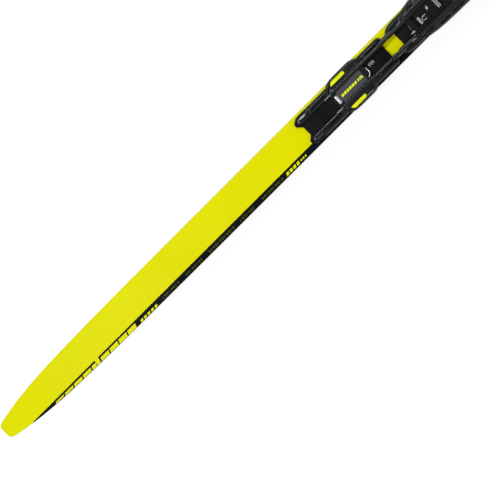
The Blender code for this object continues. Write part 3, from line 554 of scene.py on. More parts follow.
# Sintered polyethylene, with the ground structure that runs along the ski
STRUCTURE = 1500, 3, (0.01, 1, 1)
BASE = surface("base_sintered", ((0.006, 0.006, 0.007), (0.016, 0.016, 0.018)), (900, 3),
               STRUCTURE, 0.34, 0.5, (STRUCTURE, 0.4, 0.06), Specular_IOR_Level=0.35)
PORES = 2600, 2, (0.05, 1, 1)
WOOD = surface("core_wood", ((0.42, 0.28, 0.15), (0.66, 0.50, 0.31)), (420, 5, (0.03, 1, 1)),
               PORES, 0.6, 0.75, (PORES, 0.3, 0.05))
RUBBER = surface("rubber_black", ((0.014, 0.014, 0.015), (0.026, 0.026, 0.028)), (120, 3),
                 (120, 3), 0.62, 0.8, ((2100, 4), 0.35, 0.05), Specular_IOR_Level=0.3)
STEEL = metal("steel_plated", (0.175, 0.175, 0.182), (0.235, 0.235, 0.243), 0.34, 0.35,
              (0.04, 1, 1))
DARK_STEEL = metal("steel_darkened", (0.010, 0.010, 0.011), (0.018, 0.018, 0.020), 0.4, 0.9)
WIRE = metal("steel_wire", (0.40, 0.40, 0.42), (0.52, 0.52, 0.54), 0.32, 0.5, (1, 1, 1))
BRONZE = metal("bronze_bush", (0.38, 0.22, 0.09), (0.55, 0.36, 0.17), 0.38, 1.0, (1, 1, 0.05))


# ---- the ski ----

def ski_layer(name, start, end, section, pick=None, every=None):
    places = every or ski_stations(start, end)
    return loft(name, [[ski_point(d, y, z) for y, z in section(d)] for d in places], pick, 40)


def topsheet_section(d):
    """The top sheet's section: its edges are rounded over, and a point lies on the band's edge."""
    w = half_width(d) - SIDE_INSET / 2
    high = top_height(d)
    low = high - TOPSHEET_THICKNESS
    side = [(w, low), (w, high - 0.45), (w - 0.06, high - 0.24), (w - 0.2, high - 0.08),
            (w - 0.45, high)]
    inside = [min(y, w - 0.6) for y in (-BAND_EDGE, 9.0, 3.0)]
    points = side + [(y, high) for y in inside] + [(-y, high) for y in reversed(inside)]
    return points + [(-y, z) for y, z in reversed(side)]


def make_topsheet():
    places = ski_stations(0, SKI_LENGTH)
    count = len(topsheet_section(0))
    band_from = count - 6  # the face from the band's edge to the rounded side

    def pick(i, j):
        return 1 if places[i] >= BAND_START - 0.01 and band_from <= j < count - 1 else 0

    sheet = ski_layer("ski_topsheet", 0, SKI_LENGTH, topsheet_section, pick, places)
    finish_piece(sheet, "ski", [YELLOW, BAND], "topsheet", "topsheet")


def make_ski_layers():
    over = TOPSHEET_THICKNESS + LAMINATE_THICKNESS
    under = BASE_THICKNESS + LAMINATE_THICKNESS

    def base_section(d):
        w = half_width(d)
        low = base_height(d)
        roof = low + GROOVE_DEPTH * groove_share(d)
        outer = min(GROOVE_HALF_WIDTH, w * 0.6)
        half = [(w - 0.3, low), (outer, low), (outer * 0.86, mix(low, roof, 0.75)),
                (outer * 0.7, roof), (0, roof)]
        edge = [(w, low + 0.3), (w, low + BASE_THICKNESS)]
        right = [(-y, z) for y, z in reversed(half[:-1])]
        return half[::-1] + edge + [(-y, z) for y, z in reversed(edge)] + right[::-1]

    def slab(low_of, high_of, inset):
        def section(d):
            w = half_width(d) - inset
            return [(-w, low_of(d)), (w, low_of(d)), (w, high_of(d)), (-w, high_of(d))]

        return section

    def side(sign):
        def section(d):
            outer = half_width(d) - SIDE_INSET
            inner = outer - SIDEWALL_WIDTH
            low = base_height(d) + under + LAYER_GAP
            high = top_height(d) - over - LAYER_GAP
            crown = outer + 0.05
            points = [(inner, low), (outer, low), (crown, (low + high) / 2), (outer, high),
                      (inner, high)]
            return [(sign * y, z) for y, z in points]

        return section

    def above_base(d):
        return base_height(d) + BASE_THICKNESS + LAYER_GAP

    def below_sheet(d):
        return top_height(d) - TOPSHEET_THICKNESS - LAYER_GAP

    base = ski_layer("ski_running_base", 0, SKI_LENGTH, base_section)
    finish_piece(base, "ski", BASE, "running_base", "running_base")
    for name, sign in SIDES:
        wall = ski_layer(f"ski_sidewall_{name}", CORE_START, CORE_END, side(sign))
        finish_piece(wall, "ski", SIDEWALL, "sidewall", f"sidewall_{name}")
    lower = slab(above_base, lambda d: base_height(d) + under, SIDE_INSET / 2)
    upper = slab(lambda d: top_height(d) - over, below_sheet, SIDE_INSET / 2)
    whole = slab(above_base, below_sheet, SIDE_INSET)
    for name, start, end, section, look, slot in (
        ("lower_laminate", CORE_START, CORE_END, lower, LAMINATE, "laminate"),
        ("upper_laminate", CORE_START, CORE_END, upper, LAMINATE, "laminate"),
        ("tail_spacer", 0.2, CORE_START - 0.05, whole, SPACER, "spacer"),
        ("tip_spacer", CORE_END + 0.05, SKI_LENGTH - 0.2, whole, SPACER, "spacer"),
    ):
        piece = ski_layer(f"ski_{name}", start, end, section)
        finish_piece(piece, "ski", look, slot, name)


def deck_mark(name, strokes, look):
    """Printed strokes as one thin raised piece on the top sheet. Each stroke is (start, end, y
    from, y to, slant): the slant shifts the stroke's upper edge along the ski."""
    solids = []
    for start, end, y_from, y_to, slant in strokes:
        parts = max(1, int((end - start) / 6))
        corners = ((y_from, 0.0, -0.03), (y_to, slant, -0.03), (y_to, slant, 0.05),
                   (y_from, 0.0, 0.05))
        places = [start + (end - start) * i / parts for i in range(parts + 1)]
        solids.append([[ski_point(d + shift, y, top_height(d + shift) + lift)
                        for y, shift, lift in corners] for d in places])
    finish_piece(loft_all(name, solids), "ski", look, "topsheet")


def row(count, pitch, start, end, *rest):
    """Equal strokes, a pitch apart."""
    return [(start + i * pitch, end + i * pitch, *rest) for i in range(count)]


def make_deck_marks():
    """Generic slanted bars and dashes where the photographed ski has its printing."""
    bars = row(9, 14.2, 63.5, 76.0, -21.9, -16.3, 1.6)
    start = bars[4][0]
    bars[4:5] = [(start, start + 6.0, -21.9, -16.3, 1.6),
                 (start + 7.0, start + 12.5, -21.9, BAND_EDGE - 0.05, 1.6)]
    bars = [(s, e, max(y, -half_width(s) + 0.55), top, slant) for s, e, y, top, slant in bars]
    deck_mark("tail_mark_bars", bars, MARK_YELLOW)
    deck_mark("tail_mark_dashes", row(5, 5.6, 197, 200.6, -20.9, -18.1, 1.2), MARK_YELLOW)
    ticks = []
    for group, (first, last) in enumerate(((233, 262), (270, 300), (307, 349), (356, 383),
                                           (391, 425))):
        for i in range(int((last - first) / 3.4)):
            length = 2.1 if (i + group) % 3 else 1.2
            ticks.append((first + i * 3.4, first + i * 3.4 + length, -19.5, -17.2, 0.6))
    deck_mark("waist_mark_ticks", ticks, MARK_DIM)
    deck_mark("waist_mark_blocks", row(4, 5.4, 429, 432.8, -20.2, -16.8, 1.4)
              + row(3, 3.4, 451.5, 453.6, -19.4, -17.4, 0.8), MARK_YELLOW)
    deck_mark("shovel_mark_bars", row(9, 24.0, 1180, 1200, -19.6, -16.0, 3.6), MARK_YELLOW)
    dashes = row(56, 4.2, 900, 902.4, -19.2, -17.6, 0.6)
    deck_mark("front_mark_ticks", [dashes[i] for i in range(56) if i % 14 > 1], MARK_DIM)


# ---- the mounting plates ----

def ridge(name, places, outer, inner, crest, facet):
    """One ridge of a plate, on the +Y side. The curves give its outer side, its inner side,
    its height and the outward fall of its crest at a station."""
    def section(u):
        w, inside, top, fall = outer(u), inner(u), crest(u), facet(u)
        shoulder = min(PLATE_LOW + 2.2, top - 0.9)
        run = min(2.4, (w - inside) * 0.3)
        points = [
            (inside, PLATE_LOW), (w - 0.3, PLATE_LOW), (w, PLATE_LOW + 0.3),
            (w, shoulder - 0.3), (w - 0.1, shoulder + 0.15),
            (w - run * 0.5, mix(shoulder, top, 0.52)), (w - run, top - 0.28),
            (w - run - 0.5, top - 0.05), (w - run - 1.1, top),
            (mix(w - run - 1.1, inside + 2.6, 0.5), top - 0.10),
            (inside + 2.9, top - 0.05), (inside + 1.9, top - 0.35), (inside + 1.2, top - 0.95),
            (inside, top - 1.2),
        ]
        return [(y, z - fall * max(0.0, y - FACET_START) if z > shoulder + 0.2 else z)
                for y, z in points]

    return sweep(name, places, section)


def plate_body(name, start, end, places, outer, inner, crest, facet, floor):
    """A mounting plate: two ridges on a floor, with the channel for the binding's foot."""
    left = ridge(name, places, smooth_curve(outer), inner, smooth_curve(crest), facet)
    right = mirror_copy(left, "ridge_right")
    slab = prism("floor", mirrored(floor), PLATE_LOW + 0.05, PLATE_FLOOR)
    channel = mirrored_section([
        (0, PLATE_FLOOR), (SLOT_INSIDE, PLATE_FLOOR), (SLOT_INSIDE, LIP_LOW),
        (SLOT_MOUTH, LIP_LOW), (SLOT_MOUTH, 20),
    ])
    left, right = (cut(half, prism("channel", channel, start, end, "X"))
                   for half in (left, right))
    return join(left, right, slab)


def plate_notches():
    """The short slanted grooves across the two ridges' rear ends."""
    profile = ((0, 6.68), (1.5, PLATE_HIGH + 0.05), (1.5, 9), (0, 9))
    return [
        loft(f"notch_{side}", [[bind_point(u + shift, sign * y, z) for shift, z in profile]
                               for u, y in ((19.6, 9.0), (24.4, 16.4))])
        for side, sign in SIDES
    ]


def make_rear_plate():
    outer = [
        (0, 14.4), (1.5, 15.6), (3.5, 17.4), (5.7, 18.6), (9, 19.1), (14, 19.2), (129, 19.2),
        (132.6, 19.1), (134.6, 17.6), (136.5, 14.9),
    ]
    inner = smooth_curve([(0, 10.8), (3, 8.4), (4, 8.0), (136.5, 8.0)])
    crest = [
        (0, 3.9), (3, 5.3), (6.5, 6.65), (14, 7.0), (20, PLATE_HIGH), (130, PLATE_HIGH),
        (134, 6.7), (136.5, 5.6),
    ]
    places = [0, 0.7, 1.5, 2.5, 3.5, 4.6, 5.7, 7.2, 9, 11, 13, 15, 17, 19, 22, 26, 34, 46, 60, 75,
              90, 105, 118, 125, 129, 131, 132.6, 133.8, 135, 136, 136.5]
    corner = [(REAR_PLATE_END + WINDOW_CORNER - x, WINDOW_HALF - WINDOW_CORNER + y)
              for x, y in arc((0, 0), WINDOW_CORNER, 90, 0, 5)]
    plate = plate_body("rear_plate_moulding", -3, 140, places, outer, inner, crest,
                       lambda u: 0.22 * hill(8.5, 16.5, 3.5, u), [
        (5.7, 0), (5.7, 5.8), (3.2, 8.4), (1.4, 10.4), (4, 12.5), (131, 12.5), (135, 11.5),
        (135, WINDOW_HALF), *corner, (REAR_PLATE_END, 0),
    ])
    plate = cut(plate, *plate_notches())
    bevel(plate, 0.15, 2, 40)
    finish_piece(plate, "ski", PLATE, "plate", "rear_plate")
    for i, start in enumerate((105.8, 108.6, 111.4)):
        rib = prism(f"channel_floor_rib_{i + 1}", [
            (start, PLATE_FLOOR - 0.4), (start + 1.9, PLATE_FLOOR - 0.4),
            (start + 1.9, PLATE_FLOOR + 0.5), (start, PLATE_FLOOR + 0.02),
        ], 1.2, 4.4, "Y")
        finish_piece(rib, "ski", PLATE, "plate")


def make_front_plate():
    end = FRONT_PLATE_END
    outer = [
        (FRONT_PLATE_START, 14.6), (144, 15.9), (146.5, 17.8), (149.5, 19.2), (153, 20.0),
        (157.5, 20.6), (165, 20.7), (362, 20.7), (end - 4, 18.6), (end - 1, 14), (end, 11.4),
    ]
    crest = [
        (FRONT_PLATE_START, 5.2), (145, 6.3), (148, 6.9), (152, PLATE_HIGH), (358, PLATE_HIGH),
        (366, 6.4), (end, 4.6),
    ]
    places = [142.5, 143.2, 144, 145.2, 146.5, 148, 149.5, 151.2, 153, 155, 157.5, 161, 165, 172,
              185, 210, 240, 270, 300, 330, 350, 358, 362, 364, 366, 368, 369.6, 370.8, end]
    corner = [(WINDOW_END - WINDOW_CORNER + x, WINDOW_HALF - WINDOW_CORNER + y)
              for x, y in arc((0, 0), WINDOW_CORNER, 0, 90, 5)]
    plate = plate_body("front_plate_moulding", 140, 376, places, outer, lambda u: 8.0, crest,
                       lambda u: 0.0, [
        (WINDOW_END, 0), *corner, (144, WINDOW_HALF), (144, 11.5), (148, 12.5), (362, 12.5),
        (end - 3, 10), (end - 3, 0),
    ])
    slots = [
        box(f"rack_slot_{i}", (195 + 4 * i, 197 + 4 * i), (-6, 6), (PLATE_FLOOR - 1.2, 4))
        for i in range(7)
    ]
    plate = cut(plate, *slots)
    bevel(plate, 0.18)
    finish_piece(plate, "ski", PLATE, "plate", "front_plate")


# ---- the binding's side mouldings ----

WING_SHARES = [0.0, 0.012, 0.025, 0.04, 0.06] + [0.08 + 0.023 * i for i in range(40)] + [1.0]
RAIL_SHARES = [0.98, 0.88, 0.72, 0.5, 0.25, 0.0, -0.25, -0.5, -0.72, -0.88, -1.0]
RAIL_CROWN = 0.6


def side_moulding(name, places, outline, rail, wing, flange, skirt_half, skirt_low):
    """The left half of a binding moulding as a loft: its guide rail and, outside it, its wing.

    outline(u) is the wing's half width, rail(u) gives the rail's inner side, outer side and
    top, and wing(u, y, e, hang) the wing's height at y, e from its edge. A skirt hangs outside
    the plate where the wing is wider than skirt_half, and hang is its share, from 0 to 1.
    Behind the wing the rail's outer side spreads by the flange."""
    def section(u):
        w = outline(u)
        inner, outer, top = rail(u)
        outer = min(outer, w - 0.03)
        is_wing = step(0.2, 2.4, w - RAIL_OUTER - flange)
        hang = step(skirt_half + 0.1, skirt_half + 1.6, w)
        under = min(skirt_half - 2.4, w - 2.6)
        wall = min(skirt_half, w - 1.1)
        z_wall = mix(BODY_LOW, skirt_low + 1.4, hang)
        z_skirt = mix(BODY_LOW, skirt_low, hang)
        points = [
            (inner, BODY_LOW), (under, BODY_LOW), (wall, z_wall - 0.02), (wall + 0.08, z_skirt),
            (w - 0.25, z_skirt - 0.01), (w, z_skirt + 0.2),
        ]
        slope = outline(u + 0.5) - outline(u - 0.5)
        cosine = 1 / math.sqrt(1 + slope * slope)
        for t in WING_SHARES:
            y = mix(w, outer, t)
            rail_wall = mix(z_skirt + 0.3, top - 0.45, t)
            z = mix(rail_wall, wing(u, y, (w - y) * cosine, hang), is_wing)
            points.append((y, max(z, z_skirt + 0.4)))
        middle, half = (outer + inner) / 2, (outer - inner) / 2
        crown = RAIL_CROWN * min(1.0, half / 2) ** 4
        return points + [(middle + half * share, top - crown * share * share)
                         for share in RAIL_SHARES]

    return sweep(name, places, section)


def steps_between(marks, gap):
    """Stations from the first mark to the last, about a gap apart, that include every mark."""
    made = [marks[0]]
    for low, high in zip(marks, marks[1:]):
        count = max(1, round((high - low) / gap))
        made += [low + (high - low) * (i + 1) / count for i in range(count)]
    return made


def centre_body(name, start, end):
    """The binding's foot, its neck and the channel's floor, along the middle."""
    return prism(name, mirrored_section([
        (0, FOOT_LOW), (FOOT, FOOT_LOW), (FOOT, FOOT_HIGH), (NECK, FOOT_HIGH),
        (NECK, BODY_LOW + 0.05), (BODY_EDGE, BODY_LOW + 0.05), (BODY_EDGE, CHANNEL_FLOOR),
        (0, CHANNEL_FLOOR),
    ]), start, end, "X")


heel_outline = smooth_curve([
    (42.8, 10.5), (44.4, 11.9), (48, 14.3), (51.8, 17.5), (54.5, 19.8), (57, 21.3), (60, 22.3),
    (65, 22.9), (72, 23.15), (88, 23.15), (92, 22.9), (96, 21.5), (99.5, 19.4), (104.2, 16.7),
    (108, 14.8), (111.7, 13.5), (116, 12.7), (134, 12.65),
])


def heel_rail(u):
    """The rail starts as a thin prong whose top ramps up toward the front."""
    ramp = 8.9 + 0.268 * (min(u, PRONG_END) - HEEL_START)
    top = mix(ramp, RAIL_TOP, step(PRONG_END, PRONG_END + 2.4, u))
    outer = mix(10.75, 11.5, step(PRONG_END - 0.4, PRONG_END + 1.4, u))
    outer = mix(outer, RAIL_OUTER, step(99, 106, u))
    inner = mix(9.2, RAIL_INNER, step(PRONG_END - 0.4, PRONG_END + 0.8, u))
    return inner, outer, top


def heel_wing(u, y, e, hang):
    """The heel wing: a dished top inside a raised rim, which rolls over at the edge."""
    z = mix(8.2, 9.9, step(43, 56, u)) - WING_SLOPE * (y - RAIL_OUTER)
    z -= mix(1.0, 2.6, hang) * step(1.3, -0.1, e)
    rim = step(0.9, 2.1, e) * step(4.3, 2.6, e)
    z += rim * mix(0.35, 0.75, 1 - hill(62, 88, 6, u))
    z -= 1.4 * step(2.6, 5.6, e) * hill(46, 51, 7, u) * step(11.0, 13.4, y)
    return z


INSERT_OUTLINE = [(58.7, 15.9), (60.0, 18.2), (62.4, 19.9), (79.6, 19.9), (81.1, 17.4),
                  (79.8, 15.9)]


def insert_outline(sign, margin):
    """The insert's outline on a side, grown by the margin."""
    points = []
    for x, y in rounded(INSERT_OUTLINE, 0.6, 3):
        x += math.copysign(margin, x - INSERT_CENTRE[0])
        y += math.copysign(margin, y - INSERT_CENTRE[1])
        points.append((x, sign * y))
    return points


def make_heel():
    places = steps_between([HEEL_START, 46, 60, 84, 97, 118, HEEL_RAIL_END], 0.7)
    left = side_moulding("heel_housing", places, heel_outline, heel_rail, heel_wing, 0.0,
                         *HEEL_SKIRT)
    corner_pocket = tapered("corner_pocket", [(98.6, 13.2), (107.2, 13.2), (103.8, 14.6),
                                              (98.6, 17.2)], 8.2, 11.2, 0.3)
    panel = tapered("panel", rounded([(84.5, 14.4), (95.6, 14.4), (94.0, 19.2), (84.5, 19.2)],
                                     0.8, 3), 9.0, 10.1, -0.25)
    left = cut(join(left, panel), corner_pocket)
    right = mirror_copy(left, "heel_right")
    centre = centre_body("heel_centre", *HEEL_CENTRE)
    front = HEEL_CENTRE[1]
    corner = [(front - 4.5, 9.1), (front - 4.2, 7.6), (front, 4.0), (front + 2, 4.0),
              (front + 2, 9.1)]
    corners = [prism(f"corner_{sign}", [(u, sign * y) for u, y in corner], 2, 9)
               for sign in (1, -1)]
    centre = cut(centre, *corners)
    heel = join(left, right, centre)
    pockets = [
        box("label_pocket", (57.6, 94.3), (-7.95, 7.95), (7.75, 9), 1.2),
        box("tongue_pocket", (48, 57.2), (-5.6, 5.6), (3.85, 9)),
        box("tongue_arm_pocket", (57, 68), (-5.6, 5.6), (3.85, 7.76)),
        *[prism(f"insert_pocket_{sign}", insert_outline(sign, 0.12), 8.05, 12)
          for sign in (1, -1)],
    ]
    heel = cut(heel, *pockets)
    plastic_piece(heel, "heel_base")

    for side, sign in SIDES:
        outline = insert_outline(sign, 0.0)
        rings = [[bind_point(u, y, 8.15) for u, y in outline]]
        for shrink, lift in ((0.0, 0.05), (0.06, 0.22), (0.25, 0.32)):
            ring = []
            for u, y in outline:
                inward = Vector((INSERT_CENTRE[0] - u, sign * INSERT_CENTRE[1] - y))
                inward = inward.normalized() * shrink
                height = 9.9 - WING_SLOPE * (abs(y) - RAIL_OUTER) + lift
                ring.append(bind_point(u + inward.x, y + inward.y, height))
            rings.append(ring)
        insert = loft(f"wing_insert_{side}_cap", rings)
        finish_piece(insert, "binding", INSERT, "wing_insert", f"wing_insert_{side}")


def make_heel_label():
    plate = bevel(box("heel_label_face", (57.8, 94.0), (-7.8, 7.8), (8.0, 9.35), 1.1), 0.2)
    finish_piece(plate, "binding", LABEL, "label", "heel_label_plate")
    dashes = [(59.6 + i * 4.0, 3.2) for i in range(6)] + [(84.6, 1.6), (87.0, 1.6)]
    strokes = [[(u, -1.5), (u + length, -1.5), (u + length + 0.9, 1.4), (u + 0.9, 1.4)]
               for u, length in dashes]
    strokes.append([(88.9, -1.5), (92.8, -1.5), (91.0, 2.4)])
    dashes = loft_all("heel_label_dashes", [
        [[bind_point(u, y, z) for u, y in stroke] for z in (9.3, 9.42)] for stroke in strokes
    ])
    finish_piece(dashes, "binding", INSERT, "wing_insert")


def make_rail_couplers():
    """The clips over the joints between the heel's rails and the toe's, with two ribs each."""
    def section(u):
        rib = max(hill(129.2, 130.4, 0.35, u), hill(132.9, 134.2, 0.35, u))
        end = step(128.6, 129.1, u) * step(138.0, 137.4, u)
        top = mix(12.35, 12.6, end) + 0.45 * rib
        outer = mix(13.1, 13.25, end) + 0.1 * rib
        return [
            (8.4, BODY_LOW + 0.4), (9.0, BODY_LOW + 0.4), (9.0, 12.1), (12.7, 12.1),
            (12.7, BODY_LOW + 0.4), (outer, BODY_LOW + 0.4), (outer, top - 0.9),
            (outer - 0.3, top - 0.35), (outer - 0.9, top - 0.08), (10.8, top),
            (9.3, top - 0.08), (8.65, top - 0.35), (8.4, top - 0.9),
        ]

    places = steps_between([128.6, 129.0, 130.8, 132.5, 134.5, 138.0], 0.3)
    for side, sign in SIDES:
        clip = sweep(f"rail_joint_clip_{side}", places, section, sign)
        plastic_piece(clip, f"rail_coupler_{side}")


def make_lock_lever():
    """The rocking lever: dark steel, with a bright tab behind and two bright bars in front."""
    lever = prism("lock_lever_plate", [
        (179.5, 6.9), (210.6, 6.9), (210.6, 9.4), (206.5, 9.4), (206.5, 7.7), (179.5, 7.7),
    ], -7.1, 7.1, "Y")
    lever = cut(lever, box("window", (190.6, 204.5), (-5.6, 5.6), (6, 9), 0.8))
    tooth = box("tooth", (207.4, 208.6), (-5.0, 5.0), (2.3, 7.4))
    ears = [box(f"ear_{sign}", (194.6, 199.4), tuple(sorted((sign * 5.9, sign * 6.9))),
                (3.9, 7.3)) for sign in (1, -1)]
    lever = join(lever, tooth, *ears)
    lever = cut(lever, cylinder("bore", LOCK_AXIS, 1.3, -9, 9, "Y", 24))
    bevel(lever, 0.12)
    finish_piece(lever, "lock_lever", DARK_STEEL, "steel", "lock_lever")
    for name, *sides, corner in (
        ("tab", (179.6, 182.8), (-6.5, 2.4), (7.6, 10.4), 0.5),
        ("bar", (206.5, 208.3), (-6.7, 6.7), (9.3, 9.8), 0.4),
        ("lip", (209.2, 210.5), (-6.7, 6.7), (9.3, 9.8), 0.4),
    ):
        cap = bevel(box(f"lock_lever_{name}", *sides, corner), 0.3, 3)
        finish_piece(cap, "lock_lever", STEEL, "steel")


def make_toe_details():
    """The moulded step behind the lock, the small gusset beside it and the two thin ramps on
    the rails, which all rise toward the front."""
    plastic_piece(prism("toe_step_lip", [
        (167.2, 7.6), (169.4, 7.6), (169.4, 9.0), (168.9, 9.15), (167.2, 8.62),
    ], -2.4, 3.4, "Y"))
    rings = []
    for u, half, high in ((163.4, 0.35, 7.3), (165.4, 1.0, 7.92), (168.2, 1.7, 8.79),
                          (169.5, 1.5, 9.2), (170.6, 0.5, 9.2)):
        rings.append([bind_point(u, y, z) for y, z in (
            (-6.0 - half, 3.05), (-6.0 + half, 3.05), (-6.0 + half, high - 0.3),
            (-6.0 + half * 0.75, high), (-6.0 - half * 0.75, high), (-6.0 - half, high - 0.3),
        )])
    plastic_piece(loft("toe_step_gusset", rings))

    def ramp(u):
        rise = 11.3 + RAMP_SLOPE * (min(u, 164.6) - 156.4) - 1.2 * step(164.6, 166.2, u)
        middle = 11.7 + 0.17 * (u - 157)
        half = 0.72 * step(156.0, 157.4, u) + 0.08
        return [(middle + y, z) for y, z in (
            (-half, 8.0), (half, 8.0), (half, rise - 0.25), (half * 0.7, rise - 0.04), (0, rise),
            (-half * 0.7, rise - 0.04), (-half, rise - 0.25),
        )]

    places = steps_between([156.4, 157.4, 164.6, 166.2], 0.8)
    for side, sign in SIDES:
        plastic_piece(sweep(f"toe_ramp_{side}", places, ramp, sign))


def make_heel_tongue():
    """The sprung tab behind the heel's label plate."""
    side = [(52.7, 4.8), (65.0, 4.8), (65.0, 7.2), (61.2, 7.2), (57.4, 6.4), (56.4, 6.4),
            (56.4, 9.0), (56.1, 9.2), (54.4, 9.2), (52.9, 8.6), (52.7, 6.5)]
    tongue = prism("heel_tongue_tab", side, -5.2, 5.2, "Y")
    trims = [
        prism(f"trim_{sign}", [(51, sign * 6), (53.6, sign * 6), (53.0, sign * 4.6),
                               (51, sign * 3.6)], 4, 10) for sign in (1, -1)
    ]
    tongue = cut(tongue, cylinder("bore", TONGUE_AXIS, 1.0, -8, 8, "Y", 24), *trims)
    bevel(tongue, 0.25)
    finish_piece(tongue, "heel_tongue", STEEL, "steel", "heel_tongue")


# ---- the toe half ----

toe_outline = smooth_curve([
    (133, 12.65), (134.2, 13.6), (135.4, 14.4), (155, 14.45), (158.5, 14.8), (162, 15.7),
    (166, 17.2), (170, 19.3), (174, 20.8), (178, 21.9), (183.6, 22.9), (189, 23.8), (196, 24.4),
    (207, 25.0), (225, 25.5), (248, 25.8), (264, 25.4), (276, 24.0), (290, 21.7), (304, 20.1),
    (322, 19.1), (342, 19.0), (362, 19.0),
])


def toe_rail(u):
    """The rail is narrower beside the lock and the groove in the wing."""
    narrow = step(165.2, 167.8, u) * step(266, 262, u)
    return RAIL_INNER, mix(RAIL_OUTER, 10.5, narrow), RAIL_TOP


def toe_surface(y):
    """The height of the toe wing's top before its rim and pockets."""
    return 10.0 - 0.10 * (y - RAIL_OUTER) - 0.05 * max(0.0, y - 17.5)


def toe_wing(u, y, e, hang):
    """The toe wing: nearly flat, with a low rim that rolls over at the edge."""
    z = toe_surface(y)
    z -= mix(1.0, 3.2, hang) * step(1.4, -0.1, e)
    z += 0.35 * step(0.5, 1.4, e) * step(3.2, 1.9, e) * hill(166, 270, 8, u)
    return z


def toe_wing_details():
    """The left wing's two low ridges and three ribs, and the cutters for its pockets."""
    groove = [(168.6, 10.9), (262, 10.9), (262, 12.5), (171.0, 12.5)]
    corner = [(176.4, 15.4), (187.0, 15.4), (189.6, 19.3), (180.6, 19.3)]
    pockets = [(groove, 8.75, 0.15), (corner, 8.3, 0.35)]
    for low, high, y_in, y_out in ((195.2, 210.2, 19.3, 22.6), (214.4, 231.4, 19.5, 23.2),
                                   (235.6, 251.6, 19.5, 23.2)):
        pockets.append(([(low - 0.9, y_in), (high - 0.9, y_in), (high + 0.9, y_out),
                         (low + 0.9, y_out)], 8.6, 0.3))
    cutters = [tapered(f"pocket_{i}", rounded(outline, 0.7, 3), floor, 11.2, draft)
               for i, (outline, floor, draft) in enumerate(pockets)]
    ridges = []
    for name, y, start, end in (("inner", 14.2, 171.0, 262.0), ("outer", 17.6, 192.0, 257.0)):
        surface = toe_surface(y)
        section = [(-1.6, -0.6), (1.6, -0.6), (1.6, -0.13), (0.3, 0.26), (-0.3, 0.26),
                   (-1.7, -0.02)]
        rings = [[bind_point(u, y + a, surface + (b if b < 0.2 else b * rise)) for a, b in section]
                 for u, rise in ((start, 0.0), (start + 5, 1.0), (end - 5, 1.0), (end, 0.0))]
        ridges.append(loft(f"ridge_{name}", rings))
    for i, start in enumerate((191.6, 211.2, 232.4)):
        rings = []
        for y, shift in ((19.2, -0.9), (22.7, 0.9)):
            low = toe_surface(y)
            rings.append([bind_point(start + shift + a, y, low + b) for a, b in (
                (0, -0.6), (2.6, -0.6), (2.6, 0.3), (2.2, 0.45), (0, -0.1))])
        ridges.append(loft(f"rib_{i}", rings))
    return ridges, cutters


def make_toe():
    places = steps_between([TOE_START, 154, 158, 166, 178, 192, 215, 236, 262, 273, 297, 330,
                            TOE_END], 0.75)
    left = side_moulding("toe_housing", places, toe_outline, toe_rail, toe_wing, TOE_FLANGE,
                         *TOE_SKIRT)
    ridges, pockets = toe_wing_details()
    left = cut(join(left, *ridges), *pockets)
    right = mirror_copy(left, "toe_right")
    centre = centre_body("toe_centre", TOE_CENTRE_START, TOE_END)
    ears = [
        prism(f"ear_{sign}", rounded([(299, sign * 12.9), (321, sign * 12.9), (320, sign * 16.0),
                                      (301, sign * 16.4)], 1.0), 8.8, 15.2)
        for sign in (1, -1)
    ]
    toe = join(left, right, centre, *ears)
    plan = [(130, -26.5), (334, -26.5), (341.5, NOSE_RADIUS * -1.02),
            *arc((KNOB_STATION, 0), NOSE_RADIUS, -88, 88, 45),
            (341.5, NOSE_RADIUS * 1.02), (334, 26.5), (130, 26.5)]
    toe = boolean(toe, "INTERSECT", prism("nose", plan, 0, 20))
    cutters = [
        box("lock_opening", (175.5, 214), (-7.4, 7.4), (0, 10), 1.0),
        box("rail_gap", (273, 297), (-30, 30), (10.4, 20)),
        cylinder("bush_bore", (KNOB_STATION, 0), 3.2, 2, 10),
        cylinder("clip_recess", (KNOB_STATION, 0), 4.4, 2, 4.6),
        box("stem_socket", (305.5, 316.5), (-2.9, 2.9), (6.2, 10)),
    ]
    for sign in (1, -1):
        for name, (u, y), *sizes in (("screw", SCREW_PLACE, 1.5, 4.2, 10),
                                     ("rivet", RIVET_PLACE, 1.0, 7.9, 14)):
            cutters.append(cylinder(f"{name}_bore_{sign}", (u, sign * y), *sizes))
    plastic_piece(cut(toe, *cutters), "toe_base")


def make_lock_cover():
    cover = cut(
        box("lock_cover_lid", (183.0, 205.0), (-8.8, 8.8), (8.95, 9.8), 0.8),
        box("loop_window", (183.6, 191.0), (-6.2, 0.2), (8, 11), 1.0),
        box("coil_window", (194.4, 199.6), (0.6, 5.6), (8, 11), 0.8),
    )
    bevel(cover, 0.15)
    plastic_piece(cover, "lock_cover")


